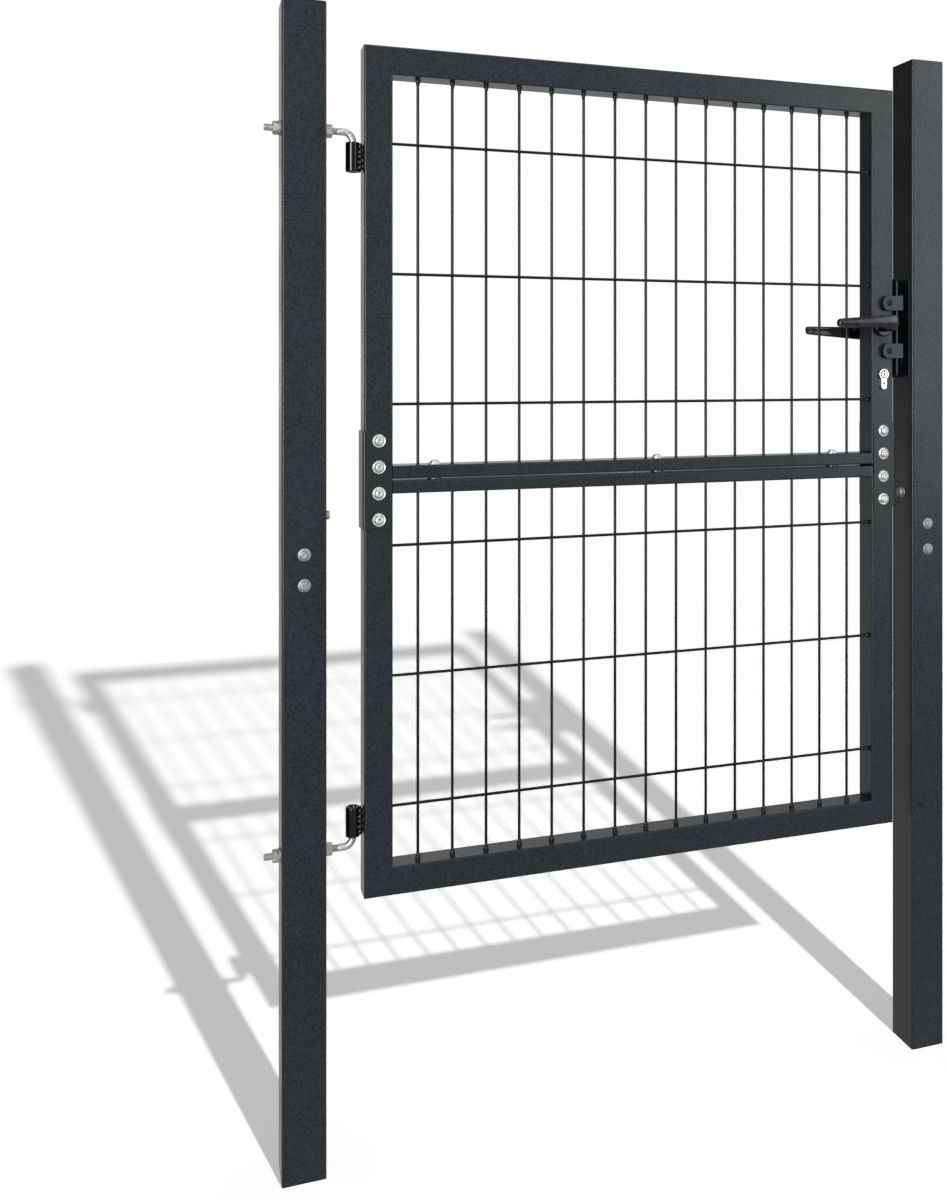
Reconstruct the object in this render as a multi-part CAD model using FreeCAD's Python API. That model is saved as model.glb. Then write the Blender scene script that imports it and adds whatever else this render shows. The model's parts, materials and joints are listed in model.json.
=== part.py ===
import FreeCAD, Part
import math
import os

from FreeCAD import Rotation
from FreeCAD import Vector

# Wire mesh garden gate: one leaf of two half frames between two posts.
# Millimetres. X runs from the hinge post to the lock post, Y from front to back, Z up.
# The origin is on the foot of the hinge post, in the middle of its front wall.

# Posts: square tubes in two lengths that meet over an inner sleeve
POST_SIDE = 60.0
POST_WALL = 2.0
POST_CORNER = 3.0
POST_LOWER_LENGTH = 798.0
POST_UPPER_LENGTH = 824.0
POST_SLEEVE_CLEARANCE = 0.1
POST_SLEEVE_WALL = 2.5
POST_SLEEVE_BELOW = 110.0
POST_SLEEVE_ABOVE = 142.0
POST_CAP_THICKNESS = 3.0
POST_CAP_SPIGOT = 14.0
POST_CAP_CLEARANCE = 0.3

# Screws that hold the upper post length on its sleeve, heights above the joint
POST_SCREW_FIRST = 22.0
POST_SCREW_SECOND = 64.0
POST_SCREW_SIDE = 114.0
POST_SCREW_RADIUS = 4.0
POST_SCREW_LENGTH = 14.0
POST_SCREW_HEAD_RADIUS = 9.0
POST_SCREW_HEAD_HEIGHT = 4.5

# Leaf frame: two half frames of square tube with mitred corners
LEAF_WIDTH = 856.0
LEAF_DEPTH = 40.0
LEAF_LIFT = 373.0
LOWER_HALF_HEIGHT = 586.0
UPPER_HALF_HEIGHT = 611.5
HALF_GAP = 2.5
HINGE_GAP = 52.5
LOCK_GAP = 29.5
FRAME_FACE = 40.0
FRAME_WALL = 2.0
FRAME_CORNER = 2.5
MID_BAR_HEIGHT = 18.5
MID_BAR_CORNER = 2.5

# Welded mesh
WIRE_RADIUS = 2.0
WIRE_SIDES = 8
WIRE_BITE = 0.6
WIRE_SETBACK = 12.0
COLUMN_PITCH = 50.0
ROW_PITCH = 185.0
LAST_ROW_CLEARANCE = 20.0
LOWER_FIRST_ROW = 83.0
UPPER_FIRST_ROW = 87.0

# Bolts that pull the two middle bars together
BAR_BOLT_FROM_STILE = 63.0
BAR_BOLT_MIDDLE_SHIFT = 20.0
BAR_BOLT_RADIUS = 4.0
BAR_BOLT_HEAD_RADIUS = 6.5
BAR_BOLT_HEAD_HEIGHT = 4.0
BAR_BOLT_WASHER_RADIUS = 9.5
BOLT_WASHER_THICKNESS = 1.6
BAR_NUT_FLATS = 13.0
BAR_NUT_HEIGHT = 6.5
BOLT_END = 2.0
HOLE_CLEARANCE = 0.25

# Channels that join the half frames at the stiles
SLEEVE_SHEET = 2.5
SLEEVE_HEIGHT = 138.0
SLEEVE_REACH = 38.0
SLEEVE_BEND = 3.5
SLEEVE_BOLT_PITCH = 37.0
SLEEVE_BOLT_COUNT = 4
SLEEVE_BOLT_RADIUS = 4.0
SLEEVE_BOLT_WASHER_RADIUS = 9.5
SLEEVE_BOLT_HEAD_RADIUS = 6.5
SLEEVE_BOLT_HEAD_HEIGHT = 4.5
SLEEVE_NUT_FLATS = 13.0
SLEEVE_NUT_HEIGHT = 6.5

# Hinges: a bent rod through the post and a barrel on the stile
HINGE_AXIS_OFFSET = 13.5
ROD_RADIUS = 5.0
ROD_BEND = 13.5
ROD_STICK_OUT = 22.0
BARREL_RADIUS = 10.0
BARREL_CLEARANCE = 0.2
BARREL_HEIGHT = 42.0
BARREL_CHAMFER = 1.0
BARREL_TO_ROD = 14.0
BARREL_WELD_WIDTH = 15.0
BARREL_WELD_THROAT = 10.0
BARREL_WELD_INSET = 3.0
LOWER_BARREL_FOOT = 457.0
UPPER_BARREL_FOOT = 1395.0
PIN_SHORT = 4.0
HINGE_WASHER_RADIUS = 10.5
HINGE_WASHER_THICKNESS = 2.0
HINGE_NUT_FLATS = 17.0
HINGE_NUT_HEIGHT = 8.4
THREAD_CLEARANCE = 0.1

# Lock in the stile, and its lever handles
CYLINDER_DROP = 77.0
CYLINDER_RADIUS = 8.5
CYLINDER_TAIL_WIDTH = 10.0
CYLINDER_TAIL_DROP = 24.5
CYLINDER_PROUD = 5.0
CYLINDER_CLEARANCE = 0.2
CASE_WIDTH = 29.0
CASE_DEPTH = 15.0
CASE_TOP = 46.0
CASE_BOTTOM = 118.0
CASE_SPINDLE_BORE = 6.5
FACEPLATE_THICKNESS = 3.0
FACEPLATE_DEPTH = 22.0
FACEPLATE_MARGIN = 14.0
FACEPLATE_ABOVE_SLEEVE = 23.75
FACEPLATE_END_FLAT = 2.0
FACEPLATE_CLEARANCE = 0.15
BOLT_BLOCK_LENGTH = 14.0
BOLT_BLOCK_CLEARANCE = 0.2
LATCH_RISE = 20.0
LATCH_HEIGHT = 20.0
LATCH_DEPTH = 11.0
DEAD_BOLT_DROP = 40.0
DEAD_BOLT_HEIGHT = 28.0
DEAD_BOLT_DEPTH = 9.0
ROSE_RADIUS = 15.5
ROSE_THICKNESS = 7.0
ROSE_EDGE = 2.0
NECK_RADIUS = 8.0
NECK_CLEARANCE = 0.4
NECK_SEAT = 2.0
NECK_INTO_ARM = 1.0
LEVER_STAND_OFF = 30.0
LEVER_LENGTH = 102.0
LEVER_HEEL = 8.0
LEVER_FLAT_EDGE = 2.0
LEVER_ROOT_HEIGHT = 21.0
LEVER_TIP_HEIGHT = 13.0
LEVER_ROOT_DEPTH = 12.0
LEVER_TIP_DEPTH = 8.0
LEVER_ELBOW = 9.0
LEVER_HEEL_CORNER = 6.0
LEVER_TIP_CORNER = 5.0
SPINDLE_SIDE = 8.0
SPINDLE_CLEARANCE = 0.1
SPINDLE_ENGAGEMENT = 24.0
SPINDLE_SHORT = 1.0

# Strike channel on the lock post, with two stops and their buffers
STRIKE_BELOW_LEVER = 83.0
STRIKE_HEIGHT = 162.0
STRIKE_SHEET = 2.5
STRIKE_GAP = 2.5
STRIKE_BACK = 49.0
STRIKE_POST_LEG_FRONT = 5.0
STRIKE_CORNER = 8.0
STRIKE_SLOT_MARGIN = 2.5
EAR_LENGTH = 37.0
EAR_HEIGHT = 23.5
EAR_OVER_LEAF = 23.5
EAR_END_FLAT = 2.5
EAR_FROM_LEVER = 39.0
BUFFER_FROM_END = 12.0
BUFFER_RADIUS = 12.5
BUFFER_THICKNESS = 5.1
BUFFER_CHAMFER = 1.0
BUFFER_GAP = 0.4
BUFFER_SCREW_RADIUS = 3.0
BUFFER_SCREW_CLEARANCE = 0.2
BUFFER_SCREW_IN_PAD = 3.5
BUFFER_HEAD_RADIUS = 5.0
BUFFER_HEAD_HEIGHT = 2.0
STRIKE_SCREW_FROM_END = 28.0
STRIKE_SCREW_RADIUS = 3.0
STRIKE_SCREW_LENGTH = 10.0
STRIKE_SCREW_HEAD_RADIUS = 5.5
STRIKE_SCREW_HEAD_HEIGHT = 3.0

# Places that follow from the sizes above
post_front = -POST_WALL / 2
post_middle = post_front + POST_SIDE / 2
post_tube_top = POST_LOWER_LENGTH + POST_UPPER_LENGTH
leaf_front = post_middle - LEAF_DEPTH / 2
leaf_back = leaf_front + LEAF_DEPTH
leaf_left = POST_SIDE / 2 + HINGE_GAP
leaf_right = leaf_left + LEAF_WIDTH
leaf_centre = (leaf_left + leaf_right) / 2
lower_top = LEAF_LIFT + LOWER_HALF_HEIGHT
upper_foot = lower_top + HALF_GAP
leaf_top = upper_foot + UPPER_HALF_HEIGHT
split_middle = (lower_top + upper_foot) / 2
bar_bolt_grip = MID_BAR_HEIGHT + HALF_GAP + FRAME_WALL
inner_left = leaf_left + FRAME_FACE
inner_right = leaf_right - FRAME_FACE
hinge_axis = leaf_left - HINGE_AXIS_OFFSET
lock_post_face = leaf_right + LOCK_GAP
post_spacing = lock_post_face + POST_SIDE / 2
column_count = int((inner_right - inner_left) / COLUMN_PITCH)
bar_bolt_spread = leaf_centre - inner_left - BAR_BOLT_FROM_STILE
lock_x = leaf_right - FRAME_FACE / 2
sleeve_foot = split_middle - SLEEVE_HEIGHT / 2
sleeve_top = split_middle + SLEEVE_HEIGHT / 2
case_foot = sleeve_top + FACEPLATE_ABOVE_SLEEVE + FACEPLATE_MARGIN
lever_height = case_foot + CASE_BOTTOM
case_top = lever_height + CASE_TOP
case_right = leaf_right - FACEPLATE_THICKNESS
cylinder_height = lever_height - CYLINDER_DROP
latch_height = lever_height + LATCH_RISE
dead_bolt_height = lever_height - DEAD_BOLT_DROP
strike_left = leaf_right + STRIKE_GAP
strike_foot = lever_height - STRIKE_BELOW_LEVER
strike_top = strike_foot + STRIKE_HEIGHT
strike_front = leaf_front - BUFFER_GAP - BUFFER_THICKNESS
ear_front = strike_front - STRIKE_SHEET
ear_left = leaf_right - EAR_OVER_LEAF
buffer_x = ear_left + BUFFER_FROM_END
post_screw_heights = [POST_LOWER_LENGTH + POST_SCREW_FIRST, POST_LOWER_LENGTH + POST_SCREW_SECOND]
side_screw_height = POST_LOWER_LENGTH + POST_SCREW_SIDE
upper_rod_height = UPPER_BARREL_FOOT + BARREL_HEIGHT + BARREL_TO_ROD
lower_rod_height = LOWER_BARREL_FOOT - BARREL_TO_ROD

X_AXIS = Vector(1, 0, 0)
Y_AXIS = Vector(0, 1, 0)
Z_AXIS = Vector(0, 0, 1)
FULL_TURN = 360.0
OVERCUT = 1.0


def moved(shape, base, axis=Z_AXIS):
    """The shape, made along Z at the origin, set at base along another axis."""
    placed = shape.copy()
    placed.Placement = FreeCAD.Placement(base, Rotation(Z_AXIS, axis))
    return placed


def block(low, high):
    """A plain block between two opposite corners."""
    size = high - low
    return Part.makeBox(size.x, size.y, size.z, low)


def edges_along(shape, axis):
    """The straight edges of a shape that run along an axis."""
    found = []
    for edge in shape.Edges:
        span = edge.Vertexes[-1].Point - edge.Vertexes[0].Point
        if span.Length > 0 and abs(abs(span.normalize().dot(axis)) - 1) < 1e-6:
            found.append(edge)
    return found


def rounded_bar(width, depth, length, corner):
    """A bar along Z, centred on the axis, with rounded long edges."""
    bar = Part.makeBox(width, depth, length, Vector(-width / 2, -depth / 2, 0))
    return bar.makeFillet(corner, edges_along(bar, Z_AXIS))


def tube(width, depth, length, wall, corner):
    """A rectangular tube along Z."""
    outside = rounded_bar(width, depth, length, corner)
    inside = rounded_bar(width - 2 * wall, depth - 2 * wall, length + 2 * OVERCUT, corner - wall / 2)
    inside.translate(Vector(0, 0, -OVERCUT))
    return outside.cut(inside)


def round_hole(radius, base, axis, length):
    """A cylinder that runs past both ends, to cut a hole with."""
    return Part.makeCylinder(radius, length + 2 * OVERCUT, base - axis * OVERCUT, axis)


def hex_nut(flats, height, bore):
    """A hexagon nut along Z, standing on the origin. With no bore it is solid."""
    corner_radius = flats / math.sqrt(3)
    corners = []
    for step in range(7):
        angle = math.radians(60 * step)
        corners.append(Vector(corner_radius * math.cos(angle), corner_radius * math.sin(angle), 0))
    nut = Part.Face(Part.makePolygon(corners)).extrude(Vector(0, 0, height))
    chamfer = Part.makeCone(corner_radius + height, flats / 2, height + corner_radius - flats / 2)
    nut = nut.common(moved(chamfer, Vector(0, 0, flats / 2 - corner_radius)))
    if bore > 0:
        nut = nut.cut(round_hole(bore, Vector(0, 0, 0), Z_AXIS, height))
    return nut


def domed_screw(shank_radius, shank_length, head_radius, head_height, washer_radius, washer_thickness):
    """A screw along Z with a domed head. The shank runs down from the origin."""
    sphere_radius = (head_radius ** 2 + head_height ** 2) / (2 * head_height)
    sphere_centre = washer_thickness + head_height - sphere_radius
    half_angle = math.asin(min(1.0, head_radius / sphere_radius)) / 2
    crown = Vector(0, 0, washer_thickness + head_height)
    rim = Vector(head_radius, 0, washer_thickness)
    middle = Vector(sphere_radius * math.sin(half_angle), 0,
                    sphere_centre + sphere_radius * math.cos(half_angle))
    corners = [crown, Vector(0, 0, -shank_length), Vector(shank_radius, 0, -shank_length),
               Vector(shank_radius, 0, 0)]
    if washer_thickness > 0:
        corners += [Vector(washer_radius, 0, 0), Vector(washer_radius, 0, washer_thickness), rim]
    else:
        corners.append(rim)
    edges = Part.makePolygon(corners).Edges + [Part.Arc(rim, middle, crown).toShape()]
    return Part.Face(Part.Wire(edges)).revolve(Vector(0, 0, 0), Z_AXIS, FULL_TURN)


def through_bolt(radius, grip, head_radius, head_height, washer_radius, nut_flats, nut_height):
    """A domed bolt with washers and its nut, all tight on the grip length below the origin."""
    shank = grip + BOLT_WASHER_THICKNESS + nut_height + BOLT_END
    screw = domed_screw(radius, shank, head_radius, head_height, washer_radius, BOLT_WASHER_THICKNESS)
    washer = Part.makeCylinder(washer_radius, BOLT_WASHER_THICKNESS,
                               Vector(0, 0, -grip - BOLT_WASHER_THICKNESS))
    nut = moved(hex_nut(nut_flats, nut_height, 0),
                Vector(0, 0, -grip - BOLT_WASHER_THICKNESS), Z_AXIS * -1)
    return screw.fuse([washer, nut]).removeSplitter()


def gather(solids):
    """One shape that holds like pieces which don't touch each other."""
    return Part.makeCompound(solids)


def post_tube(centre_x, foot, length):
    return moved(tube(POST_SIDE, POST_SIDE, length, POST_WALL, POST_CORNER),
                 Vector(centre_x, post_middle, foot))


def post_sleeve(centre_x):
    side = POST_SIDE - 2 * POST_WALL - 2 * POST_SLEEVE_CLEARANCE
    foot = POST_LOWER_LENGTH - POST_SLEEVE_BELOW
    length = POST_SLEEVE_BELOW + POST_SLEEVE_ABOVE
    return moved(tube(side, side, length, POST_SLEEVE_WALL, POST_CORNER - POST_WALL / 2),
                 Vector(centre_x, post_middle, foot))


def post_screw_places(centre_x, gate_side):
    """Base and outward axis of the two front screws and of the one on the leaf's side."""
    places = []
    for height in post_screw_heights:
        places.append((Vector(centre_x, post_front, height), Y_AXIS * -1))
    side_base = Vector(centre_x + gate_side * POST_SIDE / 2, post_middle, side_screw_height)
    places.append((side_base, X_AXIS * gate_side))
    return places


def post_screws(centre_x, gate_side):
    screw = domed_screw(POST_SCREW_RADIUS, POST_SCREW_LENGTH, POST_SCREW_HEAD_RADIUS,
                        POST_SCREW_HEAD_HEIGHT, 0, 0)
    return gather([moved(screw, base, axis) for base, axis in post_screw_places(centre_x, gate_side)])


def post_screw_holes(centre_x, gate_side):
    depth = POST_WALL + POST_SLEEVE_CLEARANCE + POST_SLEEVE_WALL
    holes = []
    for base, axis in post_screw_places(centre_x, gate_side):
        holes.append(round_hole(POST_SCREW_RADIUS + HOLE_CLEARANCE, base, axis * -1, depth))
    return holes


def post_cap(centre_x):
    plate = rounded_bar(POST_SIDE, POST_SIDE, POST_CAP_THICKNESS, POST_CORNER)
    spigot_side = POST_SIDE - 2 * POST_WALL - 2 * POST_CAP_CLEARANCE
    spigot = rounded_bar(spigot_side, spigot_side, POST_CAP_SPIGOT, POST_CORNER - POST_WALL / 2)
    spigot.translate(Vector(0, 0, -POST_CAP_SPIGOT))
    plate = plate.makeChamfer(POST_CAP_THICKNESS / 3, top_edges(plate))
    return moved(plate.fuse(spigot), Vector(centre_x, post_middle, post_tube_top))


def top_edges(shape):
    """The edges that lie in the highest plane of a shape."""
    top = shape.BoundBox.ZMax
    return [edge for edge in shape.Edges if edge.BoundBox.ZMin > top - 1e-6]


def build_posts():
    """Both posts with their sleeves, caps and screws."""
    parts = {}
    rod_holes = []
    for height in (lower_rod_height, upper_rod_height):
        start = Vector(-POST_SIDE / 2, post_middle, height)
        rod_holes.append(round_hole(ROD_RADIUS + HOLE_CLEARANCE, start, X_AXIS, POST_SIDE))
    strike_holes = []
    for base in strike_screw_bases():
        strike_holes.append(round_hole(STRIKE_SCREW_RADIUS + HOLE_CLEARANCE, base, X_AXIS,
                                       STRIKE_SHEET + POST_WALL))
    for name, centre_x, gate_side in (("hinge_post", 0.0, 1), ("lock_post", post_spacing, -1)):
        screw_holes = post_screw_holes(centre_x, gate_side)
        cuts = rod_holes if gate_side > 0 else strike_holes
        lower = post_tube(centre_x, 0.0, POST_LOWER_LENGTH)
        upper = post_tube(centre_x, POST_LOWER_LENGTH, POST_UPPER_LENGTH)
        parts[name + "_lower"] = lower.cut(cuts)
        parts[name + "_upper"] = upper.cut(screw_holes + cuts)
        parts[name + "_sleeve"] = post_sleeve(centre_x).cut(screw_holes)
        parts[name + "_cap"] = post_cap(centre_x)
        parts[name + "_screws"] = post_screws(centre_x, gate_side)
    return parts


def prism_between(corners):
    """A prism through the leaf's depth from corners given as (x, z)."""
    front = leaf_front - OVERCUT
    points = [Vector(x, front, z) for x, z in corners]
    points.append(points[0])
    return Part.Face(Part.makePolygon(points)).extrude(Vector(0, LEAF_DEPTH + 2 * OVERCUT, 0))


def upright_tube(left, foot, top):
    shape = tube(FRAME_FACE, LEAF_DEPTH, top - foot, FRAME_WALL, FRAME_CORNER)
    return moved(shape, Vector(left + FRAME_FACE / 2, post_middle, foot))


def level_tube(left, right, foot, height, corner):
    """A tube along X, from one x to another, with its lower face at foot."""
    shape = tube(height, LEAF_DEPTH, right - left, FRAME_WALL, corner)
    return moved(shape, Vector(left, post_middle, foot + height / 2), X_AXIS)


def build_frame():
    """Stiles, rails and middle bars of both half frames."""
    parts = {}
    low_rail = LEAF_LIFT + FRAME_FACE
    high_rail = leaf_top - FRAME_FACE
    bottom_form = prism_between([(leaf_left, LEAF_LIFT), (leaf_right, LEAF_LIFT),
                                 (inner_right, low_rail), (inner_left, low_rail)])
    top_form = prism_between([(inner_left, high_rail), (inner_right, high_rail),
                              (leaf_right, leaf_top), (leaf_left, leaf_top)])
    bottom_tube = level_tube(leaf_left, leaf_right, LEAF_LIFT, FRAME_FACE, FRAME_CORNER)
    parts["bottom_rail"] = bottom_tube.common(bottom_form)
    top_tube = level_tube(leaf_left, leaf_right, high_rail, FRAME_FACE, FRAME_CORNER)
    parts["top_rail"] = top_tube.common(top_form)

    for side, outer, inner in (("left", leaf_left, inner_left), ("right", leaf_right, inner_right)):
        left = min(outer, inner)
        lower_form = prism_between([(outer, LEAF_LIFT), (inner, low_rail),
                                    (inner, lower_top), (outer, lower_top)])
        upper_form = prism_between([(outer, upper_foot), (inner, upper_foot),
                                    (inner, high_rail), (outer, leaf_top)])
        parts[side + "_stile_lower"] = upright_tube(left, LEAF_LIFT, lower_top).common(lower_form)
        parts[side + "_stile_upper"] = upright_tube(left, upper_foot, leaf_top).common(upper_form)

    lower_bar = level_tube(inner_left, inner_right, lower_top - MID_BAR_HEIGHT, MID_BAR_HEIGHT,
                           MID_BAR_CORNER)
    upper_bar = level_tube(inner_left, inner_right, upper_foot, MID_BAR_HEIGHT, MID_BAR_CORNER)
    holes = []
    for x in bar_bolt_places():
        holes.append(round_hole(BAR_BOLT_RADIUS + HOLE_CLEARANCE,
                                Vector(x, post_middle, lower_top - FRAME_WALL), Z_AXIS, bar_bolt_grip))
    parts["lower_mid_bar"] = lower_bar.cut(holes)
    parts["upper_mid_bar"] = upper_bar.cut(holes)

    for side, centre in (("left", leaf_left + FRAME_FACE / 2), ("right", lock_x)):
        holes = sleeve_bolt_holes(centre)
        for half in ("_stile_lower", "_stile_upper"):
            parts[side + half] = parts[side + half].cut(holes)
    parts["right_stile_upper"] = parts["right_stile_upper"].cut(lock_cuts())
    return parts


def mesh_wire(start, axis, length):
    """One straight wire, as a bar of few sides."""
    corner_radius = WIRE_RADIUS / math.cos(math.pi / WIRE_SIDES)
    corners = []
    for step in range(WIRE_SIDES + 1):
        angle = math.pi * (2 * step + 1) / WIRE_SIDES
        corners.append(Vector(corner_radius * math.cos(angle), corner_radius * math.sin(angle), 0))
    bar = Part.Face(Part.makePolygon(corners)).extrude(Vector(0, 0, length))
    return moved(bar, start, axis)


def mesh_panel(foot, top, first_row):
    """Level wires in front, upright wires behind them, joined where they cross."""
    row_y = leaf_front + WIRE_SETBACK
    column_y = row_y + 2 * WIRE_RADIUS - WIRE_BITE
    first_column = leaf_centre - COLUMN_PITCH * (column_count - 1) / 2
    row_count = 1 + int((top - foot - first_row - LAST_ROW_CLEARANCE) / ROW_PITCH)
    wires = []
    for index in range(column_count):
        start = Vector(first_column + index * COLUMN_PITCH, column_y, foot)
        wires.append(mesh_wire(start, Z_AXIS, top - foot))
    for index in range(row_count):
        start = Vector(inner_left, row_y, foot + first_row + index * ROW_PITCH)
        wires.append(mesh_wire(start, X_AXIS, inner_right - inner_left))
    return wires[0].fuse(wires[1:]).removeSplitter()


def build_mesh():
    lower_foot = LEAF_LIFT + FRAME_FACE
    upper_bar_top = upper_foot + MID_BAR_HEIGHT
    return {
        "lower_mesh": mesh_panel(lower_foot, lower_top - MID_BAR_HEIGHT, LOWER_FIRST_ROW),
        "upper_mesh": mesh_panel(upper_bar_top, leaf_top - FRAME_FACE, UPPER_FIRST_ROW),
    }


def bar_bolt_places():
    """One bolt near each end and one just off the middle, clear of the upright wires."""
    return [leaf_centre + shift for shift in (-bar_bolt_spread, BAR_BOLT_MIDDLE_SHIFT, bar_bolt_spread)]


def mid_bar_bolts():
    """Bolts down through the upper bar, with a spacer in the gap and a nut inside the lower bar."""
    bar_top = upper_foot + MID_BAR_HEIGHT
    bolt = through_bolt(BAR_BOLT_RADIUS, bar_bolt_grip, BAR_BOLT_HEAD_RADIUS, BAR_BOLT_HEAD_HEIGHT,
                        BAR_BOLT_WASHER_RADIUS, BAR_NUT_FLATS, BAR_NUT_HEIGHT)
    spacer = Part.makeCylinder(BAR_BOLT_WASHER_RADIUS, HALF_GAP,
                               Vector(0, 0, -MID_BAR_HEIGHT - HALF_GAP))
    bolt = bolt.fuse(spacer).removeSplitter()
    return gather([moved(bolt, Vector(x, post_middle, bar_top)) for x in bar_bolt_places()])


def sleeve_bolt_heights():
    first = split_middle - SLEEVE_BOLT_PITCH * (SLEEVE_BOLT_COUNT - 1) / 2
    return [first + index * SLEEVE_BOLT_PITCH for index in range(SLEEVE_BOLT_COUNT)]


def sleeve_bolt_holes(centre_x):
    holes = []
    for height in sleeve_bolt_heights():
        start = Vector(centre_x, leaf_front - SLEEVE_SHEET, height)
        holes.append(round_hole(SLEEVE_BOLT_RADIUS + HOLE_CLEARANCE, start, Y_AXIS,
                                LEAF_DEPTH + 2 * SLEEVE_SHEET))
    return holes


def joining_sleeve(outer_x, inward):
    """A channel folded round the outer side, front and back of a stile."""
    far_x = outer_x - inward * SLEEVE_SHEET
    near_x = outer_x + inward * SLEEVE_REACH
    body = block(Vector(min(far_x, near_x), leaf_front - SLEEVE_SHEET, sleeve_foot),
                 Vector(max(far_x, near_x), leaf_back + SLEEVE_SHEET, sleeve_top))
    bends = [edge for edge in edges_along(body, Z_AXIS) if abs(edge.BoundBox.XMin - far_x) < 1e-6]
    body = body.makeFillet(SLEEVE_BEND, bends)
    open_x = near_x + inward * OVERCUT
    hollow = block(Vector(min(outer_x, open_x), leaf_front, sleeve_foot - OVERCUT),
                   Vector(max(outer_x, open_x), leaf_back, sleeve_top + OVERCUT))
    centre = outer_x + inward * FRAME_FACE / 2
    return body.cut([hollow] + sleeve_bolt_holes(centre))


def sleeve_bolts(centre_x):
    bolt = through_bolt(SLEEVE_BOLT_RADIUS, LEAF_DEPTH + 2 * SLEEVE_SHEET, SLEEVE_BOLT_HEAD_RADIUS,
                        SLEEVE_BOLT_HEAD_HEIGHT, SLEEVE_BOLT_WASHER_RADIUS, SLEEVE_NUT_FLATS,
                        SLEEVE_NUT_HEIGHT)
    front = leaf_front - SLEEVE_SHEET
    return gather([moved(bolt, Vector(centre_x, front, height), Y_AXIS * -1)
                   for height in sleeve_bolt_heights()])


def build_joining():
    return {
        "left_sleeve": joining_sleeve(leaf_left, 1),
        "right_sleeve": joining_sleeve(leaf_right, -1),
        "left_sleeve_bolts": sleeve_bolts(leaf_left + FRAME_FACE / 2),
        "right_sleeve_bolts": sleeve_bolts(lock_x),
        "mid_bar_bolts": mid_bar_bolts(),
    }


def hinge_rod(height, turn):
    """A rod through the post that bends up or down at the hinge axis, turn is +1 or -1."""
    start_x = -POST_SIDE / 2 - ROD_STICK_OUT
    bend_x = hinge_axis - ROD_BEND
    level = Part.makeCylinder(ROD_RADIUS, bend_x - start_x, Vector(start_x, post_middle, height), X_AXIS)
    section = Part.Face(Part.Wire(Part.makeCircle(ROD_RADIUS, Vector(bend_x, post_middle, height), X_AXIS)))
    bend_centre = Vector(bend_x, post_middle, height + turn * ROD_BEND)
    elbow = section.revolve(bend_centre, Y_AXIS * -turn, 90)
    pin_length = BARREL_TO_ROD - ROD_BEND + BARREL_HEIGHT - PIN_SHORT
    pin = Part.makeCylinder(ROD_RADIUS, pin_length,
                            Vector(hinge_axis, post_middle, height + turn * ROD_BEND), Z_AXIS * turn)
    return level.fuse([elbow, pin]).removeSplitter()


def hinge_nuts(height):
    """A washer and nut on each side of the post."""
    pieces = []
    for side in (-1, 1):
        bore = ROD_RADIUS + THREAD_CLEARANCE
        washer = Part.makeCylinder(HINGE_WASHER_RADIUS, HINGE_WASHER_THICKNESS)
        washer = washer.cut(round_hole(bore, Vector(0, 0, 0), Z_AXIS, HINGE_WASHER_THICKNESS))
        nut = hex_nut(HINGE_NUT_FLATS, HINGE_NUT_HEIGHT, bore)
        nut.translate(Vector(0, 0, HINGE_WASHER_THICKNESS))
        base = Vector(side * POST_SIDE / 2, post_middle, height)
        pieces.append(moved(washer.fuse(nut), base, X_AXIS * side))
    return gather(pieces)


def hinge_barrel(foot):
    """A bored barrel with the weld that holds it on the stile."""
    barrel = Part.makeCylinder(BARREL_RADIUS, BARREL_HEIGHT)
    rims = [edge for edge in barrel.Edges if isinstance(edge.Curve, Part.Circle)]
    barrel = barrel.makeChamfer(BARREL_CHAMFER, rims)
    weld_height = BARREL_HEIGHT - 2 * BARREL_WELD_INSET
    corners = [Vector(0, -BARREL_WELD_THROAT / 2, BARREL_WELD_INSET),
               Vector(HINGE_AXIS_OFFSET, -BARREL_WELD_WIDTH / 2, BARREL_WELD_INSET),
               Vector(HINGE_AXIS_OFFSET, BARREL_WELD_WIDTH / 2, BARREL_WELD_INSET),
               Vector(0, BARREL_WELD_THROAT / 2, BARREL_WELD_INSET)]
    weld = Part.Face(Part.makePolygon(corners + corners[:1])).extrude(Vector(0, 0, weld_height))
    bore = round_hole(ROD_RADIUS + BARREL_CLEARANCE, Vector(0, 0, 0), Z_AXIS, BARREL_HEIGHT)
    return moved(barrel.fuse(weld).cut(bore), Vector(hinge_axis, post_middle, foot))


def build_hinges():
    return {
        "upper_hinge_rod": hinge_rod(upper_rod_height, -1),
        "lower_hinge_rod": hinge_rod(lower_rod_height, 1),
        "upper_hinge_nuts": hinge_nuts(upper_rod_height),
        "lower_hinge_nuts": hinge_nuts(lower_rod_height),
        "upper_hinge_barrel": hinge_barrel(UPPER_BARREL_FOOT),
        "lower_hinge_barrel": hinge_barrel(LOWER_BARREL_FOOT),
    }


def cylinder_profile(front, back, clearance):
    """The round head and narrow tail of a profile cylinder, through the leaf."""
    radius = CYLINDER_RADIUS + clearance
    half = CYLINDER_TAIL_WIDTH / 2 + clearance
    tail_z = cylinder_height - CYLINDER_TAIL_DROP + CYLINDER_TAIL_WIDTH / 2
    length = back - front
    head = Part.makeCylinder(radius, length, Vector(lock_x, front, cylinder_height), Y_AXIS)
    tail = block(Vector(lock_x - half, front, tail_z), Vector(lock_x + half, back, cylinder_height))
    end = Part.makeCylinder(half, length, Vector(lock_x, front, tail_z), Y_AXIS)
    return head.fuse([tail, end]).removeSplitter()


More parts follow.
